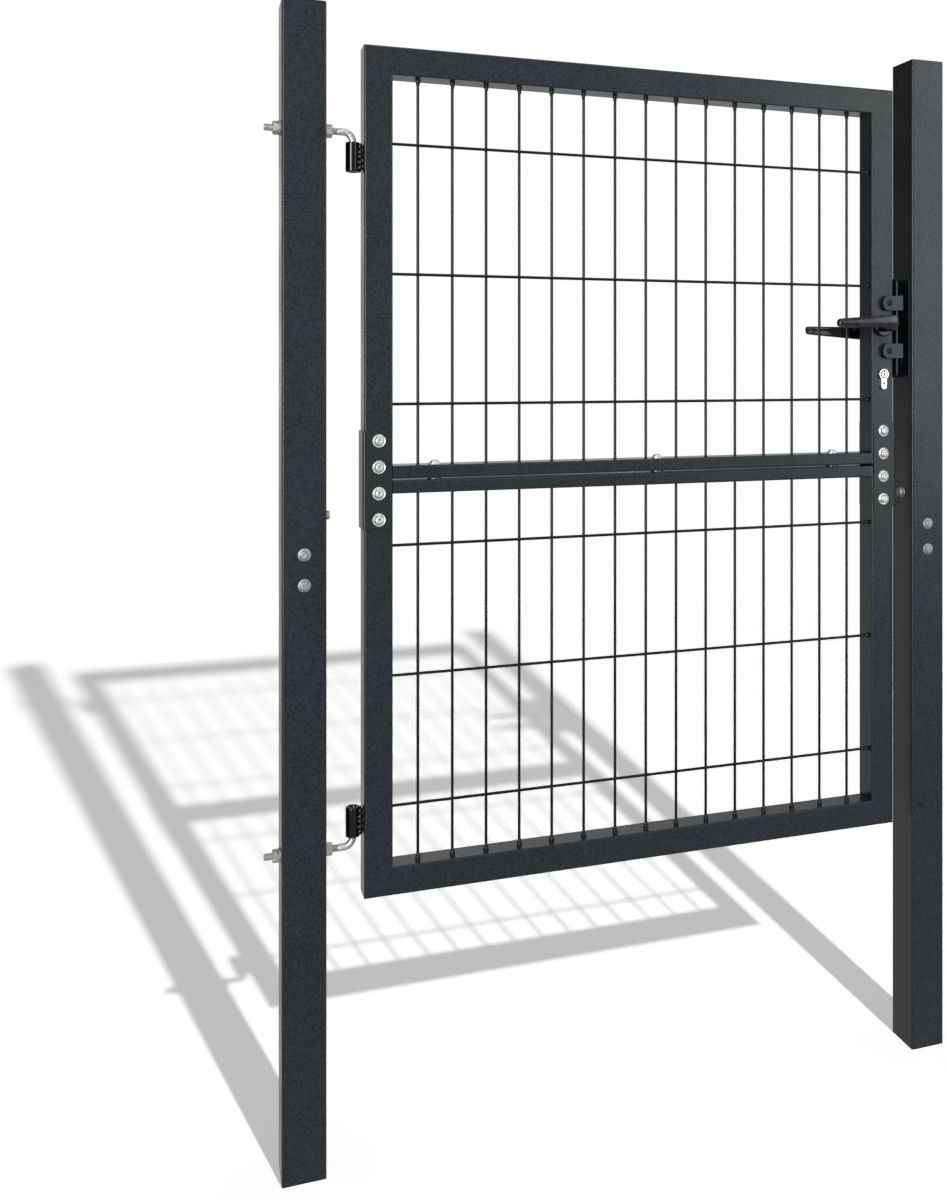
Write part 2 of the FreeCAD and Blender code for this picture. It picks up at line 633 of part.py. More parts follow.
def faceplate_form(clearance):
    """The plate on the edge of the leaf, with rounded ends."""
    half_depth = FACEPLATE_DEPTH / 2 + clearance
    foot = case_foot - FACEPLATE_MARGIN - clearance
    top = case_top + FACEPLATE_MARGIN + clearance
    plate = block(Vector(case_right, post_middle - half_depth, foot),
                  Vector(leaf_right, post_middle + half_depth, top))
    return plate.makeFillet((FACEPLATE_DEPTH - FACEPLATE_END_FLAT) / 2, edges_along(plate, X_AXIS))


def lock_block(centre_z, height, depth, clearance):
    """A bolt of the lock, drawn back so that its end is flush with the plate."""
    return block(Vector(leaf_right - BOLT_BLOCK_LENGTH, post_middle - depth / 2 - clearance,
                        centre_z - height / 2 - clearance),
                 Vector(leaf_right, post_middle + depth / 2 + clearance,
                        centre_z + height / 2 + clearance))


def lock_cuts():
    """What the lock needs cut out of the stile."""
    depth = LEAF_DEPTH + 2 * OVERCUT
    neck = Part.makeCylinder(NECK_RADIUS + NECK_CLEARANCE, depth,
                             Vector(lock_x, leaf_front - OVERCUT, lever_height), Y_AXIS)
    profile = cylinder_profile(leaf_front - OVERCUT, leaf_back + OVERCUT, CYLINDER_CLEARANCE)
    return [neck, profile, faceplate_form(FACEPLATE_CLEARANCE)]


def lever_arm():
    """The arm: a plan with a rounded elbow, cut to a front outline with one flat edge."""
    inner = -LEVER_STAND_OFF
    root_outer = inner - LEVER_ROOT_DEPTH
    tip_outer = inner - LEVER_TIP_DEPTH
    low = -LEVER_FLAT_EDGE
    root_high = low + LEVER_ROOT_HEIGHT
    tip_high = low + LEVER_TIP_HEIGHT
    plan_corners = [Vector(LEVER_HEEL, inner, low - OVERCUT), Vector(LEVER_HEEL, root_outer, low - OVERCUT),
                    Vector(0, root_outer, low - OVERCUT), Vector(-LEVER_LENGTH, tip_outer, low - OVERCUT),
                    Vector(-LEVER_LENGTH, inner, low - OVERCUT)]
    plan = Part.Face(Part.makePolygon(plan_corners + plan_corners[:1]))
    plan = plan.extrude(Z_AXIS * (LEVER_ROOT_HEIGHT + 2 * OVERCUT))
    plan = round_upright(plan, Z_AXIS, LEVER_HEEL, root_outer, LEVER_ELBOW)
    plan = round_upright(plan, Z_AXIS, -LEVER_LENGTH, tip_outer, LEVER_TIP_CORNER)
    back = root_outer - OVERCUT
    front_corners = [Vector(LEVER_HEEL, back, low), Vector(LEVER_HEEL, back, root_high),
                     Vector(0, back, root_high), Vector(-LEVER_LENGTH, back, tip_high),
                     Vector(-LEVER_LENGTH, back, low)]
    front = Part.Face(Part.makePolygon(front_corners + front_corners[:1]))
    front = front.extrude(Y_AXIS * (LEVER_ROOT_DEPTH + 2 * OVERCUT))
    front = round_upright(front, Y_AXIS, LEVER_HEEL, root_high, LEVER_HEEL_CORNER)
    front = round_upright(front, Y_AXIS, -LEVER_LENGTH, tip_high, LEVER_TIP_CORNER)
    return plan.common(front)


def lever_neck():
    """The round neck, with a domed end that sinks into the arm."""
    start = -NECK_SEAT
    shoulder = -LEVER_STAND_OFF - NECK_INTO_ARM
    diagonal = NECK_RADIUS * math.sqrt(0.5)
    corners = [Vector(0, shoulder - NECK_RADIUS, 0), Vector(0, start, 0), Vector(NECK_RADIUS, start, 0),
               Vector(NECK_RADIUS, shoulder, 0)]
    dome = Part.Arc(corners[3], Vector(diagonal, shoulder - diagonal, 0), corners[0]).toShape()
    profile = Part.Face(Part.Wire(Part.makePolygon(corners).Edges + [dome]))
    return profile.revolve(Vector(0, 0, 0), Y_AXIS, FULL_TURN)


def round_upright(shape, axis, x, across, radius):
    """The shape with one long edge rounded: the one along the axis at x and across it."""
    chosen = []
    for edge in edges_along(shape, axis):
        place = edge.Vertexes[0].Point
        other = place.y if axis == Z_AXIS else place.z
        if abs(place.x - x) < 1e-6 and abs(other - across) < 1e-6:
            chosen.append(edge)
    return shape.makeFillet(radius, chosen)


def lever(side):
    """One lever casting, side -1 in front. The one behind, +1, is the same casting turned over."""
    socket_side = SPINDLE_SIDE + 2 * SPINDLE_CLEARANCE
    socket = block(Vector(-socket_side / 2, -NECK_SEAT - SPINDLE_ENGAGEMENT, -socket_side / 2),
                   Vector(socket_side / 2, OVERCUT, socket_side / 2))
    casting = lever_neck().fuse(lever_arm()).cut(socket)
    half_turn = 0 if side < 0 else FULL_TURN / 2
    place = Vector(lock_x, post_middle + side * LEAF_DEPTH / 2, lever_height)
    casting.Placement = FreeCAD.Placement(place, Rotation(X_AXIS, half_turn))
    return casting


def rose(side):
    """The round cover round a lever's neck."""
    plate = Part.makeCylinder(ROSE_RADIUS, ROSE_THICKNESS)
    plate = plate.makeFillet(ROSE_EDGE, top_edges(plate))
    plate = plate.cut(round_hole(NECK_RADIUS + NECK_CLEARANCE, Vector(0, 0, 0), Z_AXIS, ROSE_THICKNESS))
    return moved(plate, Vector(lock_x, post_middle + side * LEAF_DEPTH / 2, lever_height), Y_AXIS * side)


def build_lock():
    """Case, plate, bolts, profile cylinder, roses, levers and spindle."""
    case = block(Vector(case_right - CASE_WIDTH, post_middle - CASE_DEPTH / 2, case_foot),
                 Vector(case_right, post_middle + CASE_DEPTH / 2, case_top))
    bore = round_hole(CASE_SPINDLE_BORE, Vector(lock_x, post_middle - CASE_DEPTH / 2, lever_height),
                      Y_AXIS, CASE_DEPTH)
    profile = cylinder_profile(leaf_front, leaf_back, CYLINDER_CLEARANCE)
    pockets = [lock_block(latch_height, LATCH_HEIGHT, LATCH_DEPTH, BOLT_BLOCK_CLEARANCE),
               lock_block(dead_bolt_height, DEAD_BOLT_HEIGHT, DEAD_BOLT_DEPTH, BOLT_BLOCK_CLEARANCE)]
    bolts = [lock_block(latch_height, LATCH_HEIGHT, LATCH_DEPTH, 0),
             lock_block(dead_bolt_height, DEAD_BOLT_HEIGHT, DEAD_BOLT_DEPTH, 0)]
    spindle_half = LEAF_DEPTH / 2 + NECK_SEAT + SPINDLE_ENGAGEMENT - SPINDLE_SHORT
    spindle = block(Vector(lock_x - SPINDLE_SIDE / 2, post_middle - spindle_half,
                           lever_height - SPINDLE_SIDE / 2),
                    Vector(lock_x + SPINDLE_SIDE / 2, post_middle + spindle_half,
                           lever_height + SPINDLE_SIDE / 2))
    return {
        "lock_case": case.cut([bore, profile] + pockets),
        "lock_faceplate": faceplate_form(0).cut(pockets),
        "lock_bolts": gather(bolts),
        "lock_cylinder": cylinder_profile(leaf_front - CYLINDER_PROUD, leaf_back + CYLINDER_PROUD, 0),
        "front_rose": rose(-1),
        "rear_rose": rose(1),
        "front_lever": lever(-1),
        "rear_lever": lever(1),
        "lever_spindle": spindle,
    }


def strike_screw_bases():
    """Where the strike's screws meet its leg on the post."""
    x = lock_post_face - STRIKE_SHEET
    heights = (strike_foot + STRIKE_SCREW_FROM_END, strike_top - STRIKE_SCREW_FROM_END)
    return [Vector(x, post_middle, height) for height in heights]


def ear_centres():
    return [lever_height - EAR_FROM_LEVER, lever_height + EAR_FROM_LEVER]


def strike_ear(height):
    """One ear in front of the leaf, with a rounded end."""
    ear = block(Vector(ear_left, ear_front, height - EAR_HEIGHT / 2),
                Vector(ear_left + EAR_LENGTH, strike_front, height + EAR_HEIGHT / 2))
    end_edges = [edge for edge in edges_along(ear, Y_AXIS) if edge.BoundBox.XMax < ear_left + OVERCUT]
    return ear.makeFillet((EAR_HEIGHT - EAR_END_FLAT) / 2, end_edges)


def strike_channel():
    """A channel that fills the gap at the lock post, with two ears that stop the leaf."""
    leg = block(Vector(strike_left, strike_front, strike_foot),
                Vector(strike_left + STRIKE_SHEET, STRIKE_BACK, strike_top))
    front_edges = [edge for edge in edges_along(leg, X_AXIS) if edge.BoundBox.YMax < strike_front + OVERCUT]
    leg = leg.makeFillet(STRIKE_CORNER, front_edges)
    web = block(Vector(strike_left, STRIKE_BACK - STRIKE_SHEET, strike_foot),
                Vector(lock_post_face, STRIKE_BACK, strike_top))
    post_leg = block(Vector(lock_post_face - STRIKE_SHEET, STRIKE_POST_LEG_FRONT, strike_foot),
                     Vector(lock_post_face, STRIKE_BACK, strike_top))
    channel = leg.fuse([web, post_leg] + [strike_ear(height) for height in ear_centres()])
    cuts = []
    for height in ear_centres():
        cuts.append(round_hole(BUFFER_SCREW_RADIUS + BUFFER_SCREW_CLEARANCE,
                               Vector(buffer_x, ear_front, height), Y_AXIS, STRIKE_SHEET))
    for base in strike_screw_bases():
        cuts.append(round_hole(STRIKE_SCREW_RADIUS + HOLE_CLEARANCE, base, X_AXIS, STRIKE_SHEET))
    for centre_z, height, depth in ((latch_height, LATCH_HEIGHT, LATCH_DEPTH),
                                    (dead_bolt_height, DEAD_BOLT_HEIGHT, DEAD_BOLT_DEPTH)):
        half_depth = depth / 2 + STRIKE_SLOT_MARGIN
        half_height = height / 2 + STRIKE_SLOT_MARGIN
        cuts.append(block(Vector(strike_left - OVERCUT, post_middle - half_depth, centre_z - half_height),
                          Vector(strike_left + STRIKE_SHEET + OVERCUT, post_middle + half_depth,
                                 centre_z + half_height)))
    return channel.cut(cuts).removeSplitter()


def build_strike():
    """The strike channel with its screws, buffers and their screws."""
    pad = Part.makeCylinder(BUFFER_RADIUS, BUFFER_THICKNESS)
    pad = pad.makeChamfer(BUFFER_CHAMFER, top_edges(pad))
    pad = pad.cut(Part.makeCylinder(BUFFER_SCREW_RADIUS, BUFFER_SCREW_IN_PAD))
    pad_screw = domed_screw(BUFFER_SCREW_RADIUS, STRIKE_SHEET + BUFFER_SCREW_IN_PAD, BUFFER_HEAD_RADIUS,
                            BUFFER_HEAD_HEIGHT, 0, 0)
    pads = []
    pad_screws = []
    for height in ear_centres():
        pads.append(moved(pad, Vector(buffer_x, strike_front, height), Y_AXIS))
        pad_screws.append(moved(pad_screw, Vector(buffer_x, ear_front, height), Y_AXIS * -1))
    strike_screw = domed_screw(STRIKE_SCREW_RADIUS, STRIKE_SCREW_LENGTH, STRIKE_SCREW_HEAD_RADIUS,
                               STRIKE_SCREW_HEAD_HEIGHT, 0, 0)
    screws = [moved(strike_screw, base, X_AXIS * -1) for base in strike_screw_bases()]
    return {
        "strike_channel": strike_channel(),
        "strike_screws": gather(screws),
        "buffer_pads": gather(pads),
        "buffer_screws": gather(pad_screws),
    }


def main():
    os.makedirs("parts", exist_ok=True)
    parts = {}
    for build in (build_posts, build_frame, build_mesh, build_joining, build_hinges, build_lock,
                  build_strike):
        parts.update(build())
    for name, shape in parts.items():
        shape.exportStep("parts/" + name + ".step")
        print(name, "solids", len(shape.Solids), "valid", shape.isValid(), "volume", round(shape.Volume, 1))


main()
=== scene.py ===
import json
import math
import random

import bmesh
import bpy
from mathutils import Matrix, Vector


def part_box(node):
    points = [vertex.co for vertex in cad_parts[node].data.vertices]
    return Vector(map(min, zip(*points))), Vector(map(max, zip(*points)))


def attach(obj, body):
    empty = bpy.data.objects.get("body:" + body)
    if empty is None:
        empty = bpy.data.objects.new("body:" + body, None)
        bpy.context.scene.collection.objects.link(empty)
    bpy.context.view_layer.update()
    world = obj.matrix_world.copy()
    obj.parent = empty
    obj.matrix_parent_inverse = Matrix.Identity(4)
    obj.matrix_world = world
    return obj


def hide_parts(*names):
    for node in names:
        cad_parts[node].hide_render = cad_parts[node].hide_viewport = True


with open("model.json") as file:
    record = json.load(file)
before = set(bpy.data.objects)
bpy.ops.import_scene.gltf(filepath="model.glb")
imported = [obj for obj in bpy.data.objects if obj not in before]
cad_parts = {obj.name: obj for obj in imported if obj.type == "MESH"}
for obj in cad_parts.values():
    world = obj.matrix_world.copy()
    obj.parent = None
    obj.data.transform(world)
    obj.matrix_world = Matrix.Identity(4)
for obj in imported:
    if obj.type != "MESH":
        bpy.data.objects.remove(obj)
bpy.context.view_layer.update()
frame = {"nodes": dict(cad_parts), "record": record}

nodes = frame["nodes"]
SEED = 7

# Lengths are in metres and angles in radians, but the sharp angle of make_piece is in degrees

# Camera, found from the edges of the posts, rails and wires in the photograph
PHOTO_WIDTH = 947
PHOTO_HEIGHT = 1200
FOCAL_PIXELS = 1213.8
PRINCIPAL_X = 620.0
PRINCIPAL_Y = 366.4
CAMERA_PLACE = Vector((-0.1523, -1.7137, 1.1206))
CAMERA_YAW = 0.3431
SENSOR_HEIGHT = 36.0

# The lamp stands where the posts' shadows on the floor meet
KEY_PLACE = Vector((0.99, -4.47, 3.87))
KEY_POWER = 1000.0
KEY_RADIUS = 0.055

# The world: light from a low band, and levels that only reflections see
HORIZON_LEVEL = 1.0
ZENITH_LEVEL = 0.04
HORIZON_BAND = (0.2, 0.47)
MIRRORED_FRONT = 0.45
MIRRORED_FLAG = 0.12
BEHIND_BAND = (0.78, 0.99)
FLAG_BAND = (-0.42, -0.2)

# The floor: its own colour, its levels as the camera sees it, and its level in reflections
FLOOR_HALF = 30.0
FLOOR_COLOUR = 0.42
FLOOR_SHADED = 0.527
FLOOR_LIT = 1.015
WORLD_ON_FLOOR = 0.155
FLOOR_CENTRE = Vector((0.2, 0.6, 0.0))
FLOOR_FADE_START = 3.0
FLOOR_FADE_END = 4.2
MIRRORED_FLOOR = 0.65
MIRRORED_FLOOR_BAND = (-1.5, 1.0)

# Soft panels: name, place, what it faces, width, height, radiance
SOFT_PANELS = (
    ("right_panel", (3.9, -3.4, 2.0), (0.95, 0.0, 1.3), 2.4, 3.2, 2.5),
    ("left_strip", (-2.2, -3.0, 1.4), (0.2, 0.0, 1.0), 1.3, 3.0, 15.0),
    ("top_panel", (0.3, -1.2, 3.6), (0.4, 0.0, 1.0), 3.0, 1.2, 2.4),
)

# Welded mesh
WIRE_RADIUS = 0.002
WIRE_SHOWN_RADIUS = 0.00215
WIRE_SIDES = 14
WIRE_BITE = 0.0006
COLUMN_PITCH = 0.050
COLUMN_COUNT = 15
ROW_PITCH = 0.185
ROW_COUNT = 3
LOWER_FIRST_ROW = 0.083
UPPER_FIRST_ROW = 0.087

# Weld metal on the mesh: half sizes along X, Y and Z, after the reach from the steel where there is one
LUMP_WOBBLE = 0.09
CROSSING_WELD = (0.0023, 0.0018, 0.0023)
LEFT_END_WELD = (0.0016, 0.0034, 0.0030)
RIGHT_END_WELDS = ((0.0015, (0.0040, 0.0042, 0.0040)), (0.0055, (0.0042, 0.0029, 0.0028)))
RIGHT_END_DRIFT = 0.0005
BAR_WELD = (0.0030, 0.0032, 0.0014)

# A drop that has run along a wire: reach, half width and half length of its lumps
DROP_LUMPS = ((0.0008, 0.0040, 0.0026), (0.0036, 0.0040, 0.0042), (0.0072, 0.0030, 0.0040))
DROP_LEAN = 1 / 11
DROP_FORWARD = 0.0004

# Hinge rods
ROD_BEND = 0.0135
ROD_BEND_STEPS = 16
ROD_SIDES = 32
ROD_CHAMFER = 0.0012
ROD_TIP = 0.001
THREAD_PITCH = 0.0015
THREAD_DEPTH = 0.0007
THREAD_WAVE = (0.0, 0.5, 1.0, 0.5)
THREAD_PAST_NUT = 0.008

# Hinge barrels, and the lumps of their welds: in from the stile, out from the middle, drift, half sizes
BARREL_PLAY = 0.0002
BARREL_MOUTH = 0.0010
BARREL_MOUTH_DEPTH = 0.0012
BARREL_RIM = 0.0016
RIM_STEPS = 4
BARREL_WELD_ROWS = 5
BARREL_WELD_END = 0.0060
BARREL_WELD_SWELL = (0.85, 1.12)
BARREL_LUMPS = (
    (0.0036, 0.0058, 0.0008, (0.0034, 0.0036, 0.0050)),
    (0.0060, 0.0056, 0.0015, (0.0026, 0.0024, 0.0034)),
)

# Turned heads, washers and nuts
LATHE_SIDES = 48
DOME_STEPS = 7
HEAD_FOOT = 0.0002
SOCKET_CHAMFER = 0.0003
SOCKET_MOUTH_SHARE = 1.22
SOCKET_MIDDLE_SHARE = 0.2
GROOVE_SHARE = 0.25
GROOVE_DEPTH = 0.0005
FLANGE_SOFT = 0.0004
WASHER_HEIGHT = 0.0016
WASHER_CHAMFER = 0.0003
NUT_HALF = 0.0065
NUT_HEIGHT = 0.0065
NUT_FOOT = 0.0004
NUT_FOOT_SHARE = 1.02
NUT_TOP_SHARE = 0.93
NUT_CHAMFER = 0.0006
BOLT_RADIUS = 0.004
BOLT_PAST_NUT = 0.002
BOLT_PLAY = 0.0001
BOLT_RIDGE = 0.0004
BOLT_RIDGE_STEPS = 8
BOLT_CHAMFER = 0.0010

# Bolts of the sleeves and the middle bars
HEAD_RADIUS = 0.0066
SOCKET_HALF = 0.0026
SLEEVE_BOLT_COUNT = 4
SLEEVE_HEAD_HEIGHT = 0.0045
SLEEVE_SOCKET_DEPTH = 0.0028
BAR_HEAD_HEIGHT = 0.0040
BAR_SOCKET_DEPTH = 0.0025
MIDDLE_BOLT_SHIFT = 0.020

# Screws on the posts: radius and height of each step of the flange, then radius and depth below the top
POST_SCREW_PITCH = 0.042
POST_SCREW_HEIGHT = 0.0045
SIDE_SCREW_EXTRA = 0.0025
POST_SCREW_FLANGE = ((0.009, 0.0), (0.009, 0.0008), (0.0085, 0.0013), (0.0071, 0.0015), (0.0066, 0.0018))
POST_SCREW_CROWN = ((0.0062, 0.0012), (0.0055, 0.0003), (0.0046, 0.0), (0.0036, 0.0), (0.0033, 0.0004),
                    (0.0008, 0.0004))

# Black socket screws of the strike channel
BUFFER_HEAD_HEIGHT = 0.0020
BUFFER_SOCKET_HALF = 0.0022
BUFFER_SOCKET_DEPTH = 0.0017
STRIKE_HEAD_HEIGHT = 0.0030
STRIKE_SOCKET_HALF = 0.0020
STRIKE_SOCKET_DEPTH = 0.0016

# Levers, measured from the pivot: the arm lies along X, its thickness along Y, its height along Z
LEVER_STAND_OFF = 0.030
LEVER_THICKNESS = 0.012
LEVER_THINS = 0.004
LEVER_LENGTH = 0.102
LEVER_TOP = 0.019
LEVER_NARROWS = 0.008
LEVER_FOOT = -0.002
LEVER_STEPS = 12
LEVER_HEEL = 0.008
LEVER_ELBOW = 0.009
HEEL_ROUND = 0.006
LEVER_TIP = 0.005
TIP_STEPS = 10
TIP_FOOT_SHARE = 0.6
LEVER_CROWN = 0.0014
CROWN_SHARE = 0.2
LEVER_FACE_STEPS = 8
LEVER_SOFT = 0.0024
SOFT_SHARE = 0.46
CORNER_STEPS = 5
LEVER_END_INSET = 0.0006
NECK_RADIUS = 0.008
NECK_START = 0.002
NECK_PAST_ARM = 0.001
NECK_DOME_STEPS = 8

# Lock cylinder: the plug with its key slot, and black discs of painted shade for the gap round it and the
# small well below
PLUG_RADIUS = 0.0050
PLUG_STEPS = 40
PLUG_PROUD = 0.0006
SLOT_HALF = 0.0009
SLOT_FOOT = -0.0030
GAP_RADIUS = 0.0066
GAP_PROUD = 0.0003
GAP_MIDDLE = 0.0004
GAP_SUNK = 0.0002
WELL_DROP = 0.0150
WELL_RADIUS = 0.0017
WELL_MIDDLE = 0.0003

X_AXIS = Vector((1, 0, 0))
Y_AXIS = Vector((0, 1, 0))
Z_AXIS = Vector((0, 0, 1))


def srgb(red, green, blue):
    """A linear colour from the 0 to 255 values that a screen shows."""
    linear = []
    for value in (red, green, blue):
        part = value / 255
        linear.append(part / 12.92 if part <= 0.04045 else ((part + 0.055) / 1.055) ** 2.4)
    return (linear[0], linear[1], linear[2], 1.0)


class Surface:
    """A material with a Principled shader and the procedural detail hung on it."""

    def __init__(self, name, roughness, metallic=0.0, specular=0.5):
        self.material = bpy.data.materials.new(name)
        self.material.use_nodes = True
        self.tree = self.material.node_tree
        self.shader = self.tree.nodes["Principled BSDF"]
        self.shader.inputs["Roughness"].default_value = roughness
        self.shader.inputs["Metallic"].default_value = metallic
        self.shader.inputs["Specular IOR Level"].default_value = specular
        self.place = self.tree.nodes.new("ShaderNodeTexCoord").outputs["Object"]
        self.normal = None

    def link(self, source, target):
        self.tree.links.new(source, target)

    def noise(self, scale, detail=3.0, roughness=0.55, stretch=None):
        """A noise value in the object's own space, in metres."""
        node = self.tree.nodes.new("ShaderNodeTexNoise")
        node.inputs["Scale"].default_value = scale
        node.inputs["Detail"].default_value = detail
        node.inputs["Roughness"].default_value = roughness
        source = self.place
        if stretch is not None:
            mapping = self.tree.nodes.new("ShaderNodeMapping")
            mapping.inputs["Scale"].default_value = stretch
            self.link(self.place, mapping.inputs["Vector"])
            source = mapping.outputs["Vector"]
        self.link(source, node.inputs["Vector"])
        return node.outputs["Fac"]

    def span(self, value, low, high, start=0.3, end=0.7):
        """The value moved from start..end to low..high."""
        node = self.tree.nodes.new("ShaderNodeMapRange")
        node.inputs["From Min"].default_value = start
        node.inputs["From Max"].default_value = end
        node.inputs["To Min"].default_value = low
        node.inputs["To Max"].default_value = high
        self.link(value, node.inputs["Value"])
        return node.outputs["Result"]

    def mix(self, value, first, second):
        """A colour between two colours, each a plain colour or another mix's output."""
        node = self.tree.nodes.new("ShaderNodeMix")
        node.data_type = "RGBA"
        for socket, colour in ((node.inputs["A"], first), (node.inputs["B"], second)):
            if isinstance(colour, tuple):
                socket.default_value = colour
            else:
                self.link(colour, socket)
        self.link(value, node.inputs["Factor"])
        return node.outputs["Result"]

    def colour(self, value, first, second):
        self.link(self.mix(value, first, second), self.shader.inputs["Base Color"])

    def crease_shade(self, low, high):
        """A mask for painted shade, low in each crease and groove, from how the surface bends."""
        geometry = self.tree.nodes.new("ShaderNodeNewGeometry")
        return self.span(geometry.outputs["Pointiness"], 0.0, 1.0, low, high)

    def roughen(self, value, low, high):
        self.link(self.span(value, low, high), self.shader.inputs["Roughness"])

    def bump(self, value, height, strength=1.0):
        """Adds a bump of a real height in metres."""
        node = self.tree.nodes.new("ShaderNodeBump")
        node.inputs["Strength"].default_value = strength
        node.inputs["Distance"].default_value = height
        self.link(value, node.inputs["Height"])
        if self.normal is not None:
            self.link(self.normal, node.inputs["Normal"])
        self.normal = node.outputs["Normal"]
        self.link(self.normal, self.shader.inputs["Normal"])


def powder_coat():
    """Anthracite powder coat: speckled grain, slow drifts between blue and green, orange peel."""
    surface = Surface("anthracite_powder_coat", 0.3, specular=0.34)
    drift = surface.span(surface.noise(5.0, detail=1.0), 0.0, 1.0)
    grain = surface.span(surface.noise(480.0, detail=3.0, roughness=0.75), 0.0, 1.0, 0.38, 0.62)
    dark = surface.mix(drift, srgb(13, 21, 22), srgb(17, 21, 29))
    pale = surface.mix(drift, srgb(41, 51, 52), srgb(46, 51, 62))
    surface.colour(grain, dark, pale)
    surface.roughen(surface.noise(9.0, detail=2.0), 0.24, 0.34)
    surface.bump(surface.noise(700.0, detail=2.0), 0.00010, 0.5)
    surface.bump(surface.noise(210.0, detail=1.0), 0.00025, 0.35)
    return surface.material


def wire_coat():
    """The same coat on thin wire, a little smoother, with darker colours that are painted shade."""
    surface = Surface("anthracite_wire_coat", 0.3, specular=0.3)
    grain = surface.noise(160.0, detail=2.0)
    # Painted shade: these colours are darker than the same coat on the tubes and bars.
    surface.colour(surface.span(grain, 0.0, 1.0), srgb(6, 8, 9), srgb(13, 15, 17))
    surface.roughen(surface.noise(60.0), 0.22, 0.32)
    surface.bump(grain, 0.00001, 0.3)
    return surface.material


def gloss_coat():
    """Thick glossy coat on the hinge barrels, roses and welds."""
    surface = Surface("black_gloss_coat", 0.14, specular=0.4)
    grain = surface.noise(300.0, detail=2.0)
    surface.colour(surface.span(grain, 0.0, 1.0), srgb(5, 5, 7), srgb(11, 12, 15))
    surface.roughen(surface.noise(45.0), 0.06, 0.14)
    surface.bump(grain, 0.00005, 0.4)
    return surface.material


def bright_zinc():
    """Zinc plate: pale, a little cloudy, with fine drawing marks, and painted shade that darkens each
    crease.
    """
    surface = Surface("bright_zinc_plate", 0.28, metallic=0.6)
    cloud = surface.noise(260.0, detail=4.0)
    marks = surface.noise(900.0, detail=2.0, stretch=(0.15, 1.0, 1.0))
    plate = surface.mix(surface.span(cloud, 0.0, 1.0), srgb(190, 191, 190), srgb(226, 227, 225))
    # Painted shade: dark grey where the surface folds in, pale plate elsewhere.
    surface.colour(surface.crease_shade(0.28, 0.44), srgb(70, 70, 72), plate)
    surface.roughen(cloud, 0.22, 0.38)
    surface.bump(marks, 0.00006, 0.5)
    return surface.material


def dull_zinc():
    """Galvanised rod and nuts, greyer and duller, with painted shade that darkens the thread and each
    crease.
    """
    surface = Surface("galvanised_steel", 0.4, metallic=0.65)
    cloud = surface.noise(240.0, detail=4.0)
    plate = surface.mix(surface.span(cloud, 0.0, 1.0), srgb(164, 164, 160), srgb(208, 208, 204))
    # Painted shade: dark grey where the surface folds in, pale plate elsewhere.
    surface.colour(surface.crease_shade(0.32, 0.46), srgb(70, 70, 68), plate)
    surface.roughen(cloud, 0.34, 0.52)
    surface.bump(surface.noise(700.0), 0.0001, 0.5)
    return surface.material


def screw_steel():
    """The posts' screws, coated dull grey, with painted shade that darkens each crease."""
    surface = Surface("grey_coated_screw", 0.45, metallic=0.6)
    cloud = surface.noise(260.0, detail=3.0)
    plate = surface.mix(surface.span(cloud, 0.0, 1.0), srgb(126, 129, 130), srgb(168, 171, 172))
    # Painted shade: dark grey where the surface folds in, coated grey elsewhere.
    surface.colour(surface.crease_shade(0.30, 0.45), srgb(60, 62, 64), plate)
    surface.roughen(cloud, 0.36, 0.55)
    surface.bump(cloud, 0.00008, 0.5)
    return surface.material


def black_screw():
    """Blackened steel for the small socket screws."""
    surface = Surface("blackened_socket_screw", 0.35, metallic=0.4)
    cloud = surface.noise(500.0, detail=3.0)
    surface.colour(surface.span(cloud, 0.0, 1.0), srgb(10, 10, 11), srgb(26, 27, 28))
    surface.roughen(cloud, 0.28, 0.46)
    surface.bump(cloud, 0.00005, 0.5)
    return surface.material


def dark_lever():
    """Dark polished lever metal with faint polishing lines along its length."""
    surface = Surface("dark_polished_lever", 0.18, metallic=0.85)
    cloud = surface.noise(120.0, detail=3.0)
    lines = surface.noise(900.0, stretch=(0.06, 1.0, 1.0))
    surface.colour(surface.span(cloud, 0.0, 1.0), srgb(52, 52, 56), srgb(74, 74, 80))
    surface.roughen(cloud, 0.13, 0.22)
    surface.bump(lines, 0.000008, 0.3)
    return surface.material


def cap_plastic():
    """Black moulded plastic."""
    surface = Surface("black_moulded_plastic", 0.25, specular=0.5)
    grain = surface.noise(1100.0, detail=2.0)
    surface.colour(surface.span(grain, 0.0, 1.0), srgb(9, 9, 10), srgb(18, 19, 20))
    surface.roughen(grain, 0.2, 0.32)
    surface.bump(grain, 0.00004, 0.5)
    return surface.material


def buffer_rubber():
    """Matt black rubber."""
    surface = Surface("black_buffer_rubber", 0.75, specular=0.2)
    grain = surface.noise(800.0, detail=3.0)
    surface.colour(surface.span(grain, 0.0, 1.0), srgb(8, 8, 8), srgb(18, 18, 18))
    surface.roughen(grain, 0.68, 0.85)
    surface.bump(grain, 0.0001, 0.6)
    return surface.material


def satin_nickel():
    """The lock cylinder's bright nickel."""
    surface = Surface("satin_nickel", 0.25, metallic=1.0)
    cloud = surface.noise(400.0, detail=3.0)
    surface.colour(surface.span(cloud, 0.0, 1.0), srgb(206, 205, 200), srgb(236, 235, 230))
    surface.roughen(cloud, 0.18, 0.32)
    surface.bump(surface.noise(1500.0, stretch=(1.0, 1.0, 0.1)), 0.00003, 0.4)
    return surface.material


def brushed_stainless():
    """The lock's edge plate and bolts, brushed along their height."""
    surface = Surface("brushed_stainless", 0.32, metallic=1.0)
    marks = surface.noise(900.0, detail=3.0, stretch=(1.0, 1.0, 0.06))
    surface.colour(surface.span(marks, 0.0, 1.0), srgb(160, 160, 158), srgb(198, 198, 195))
    surface.roughen(marks, 0.26, 0.42)
    surface.bump(marks, 0.00004, 0.5)
    return surface.material


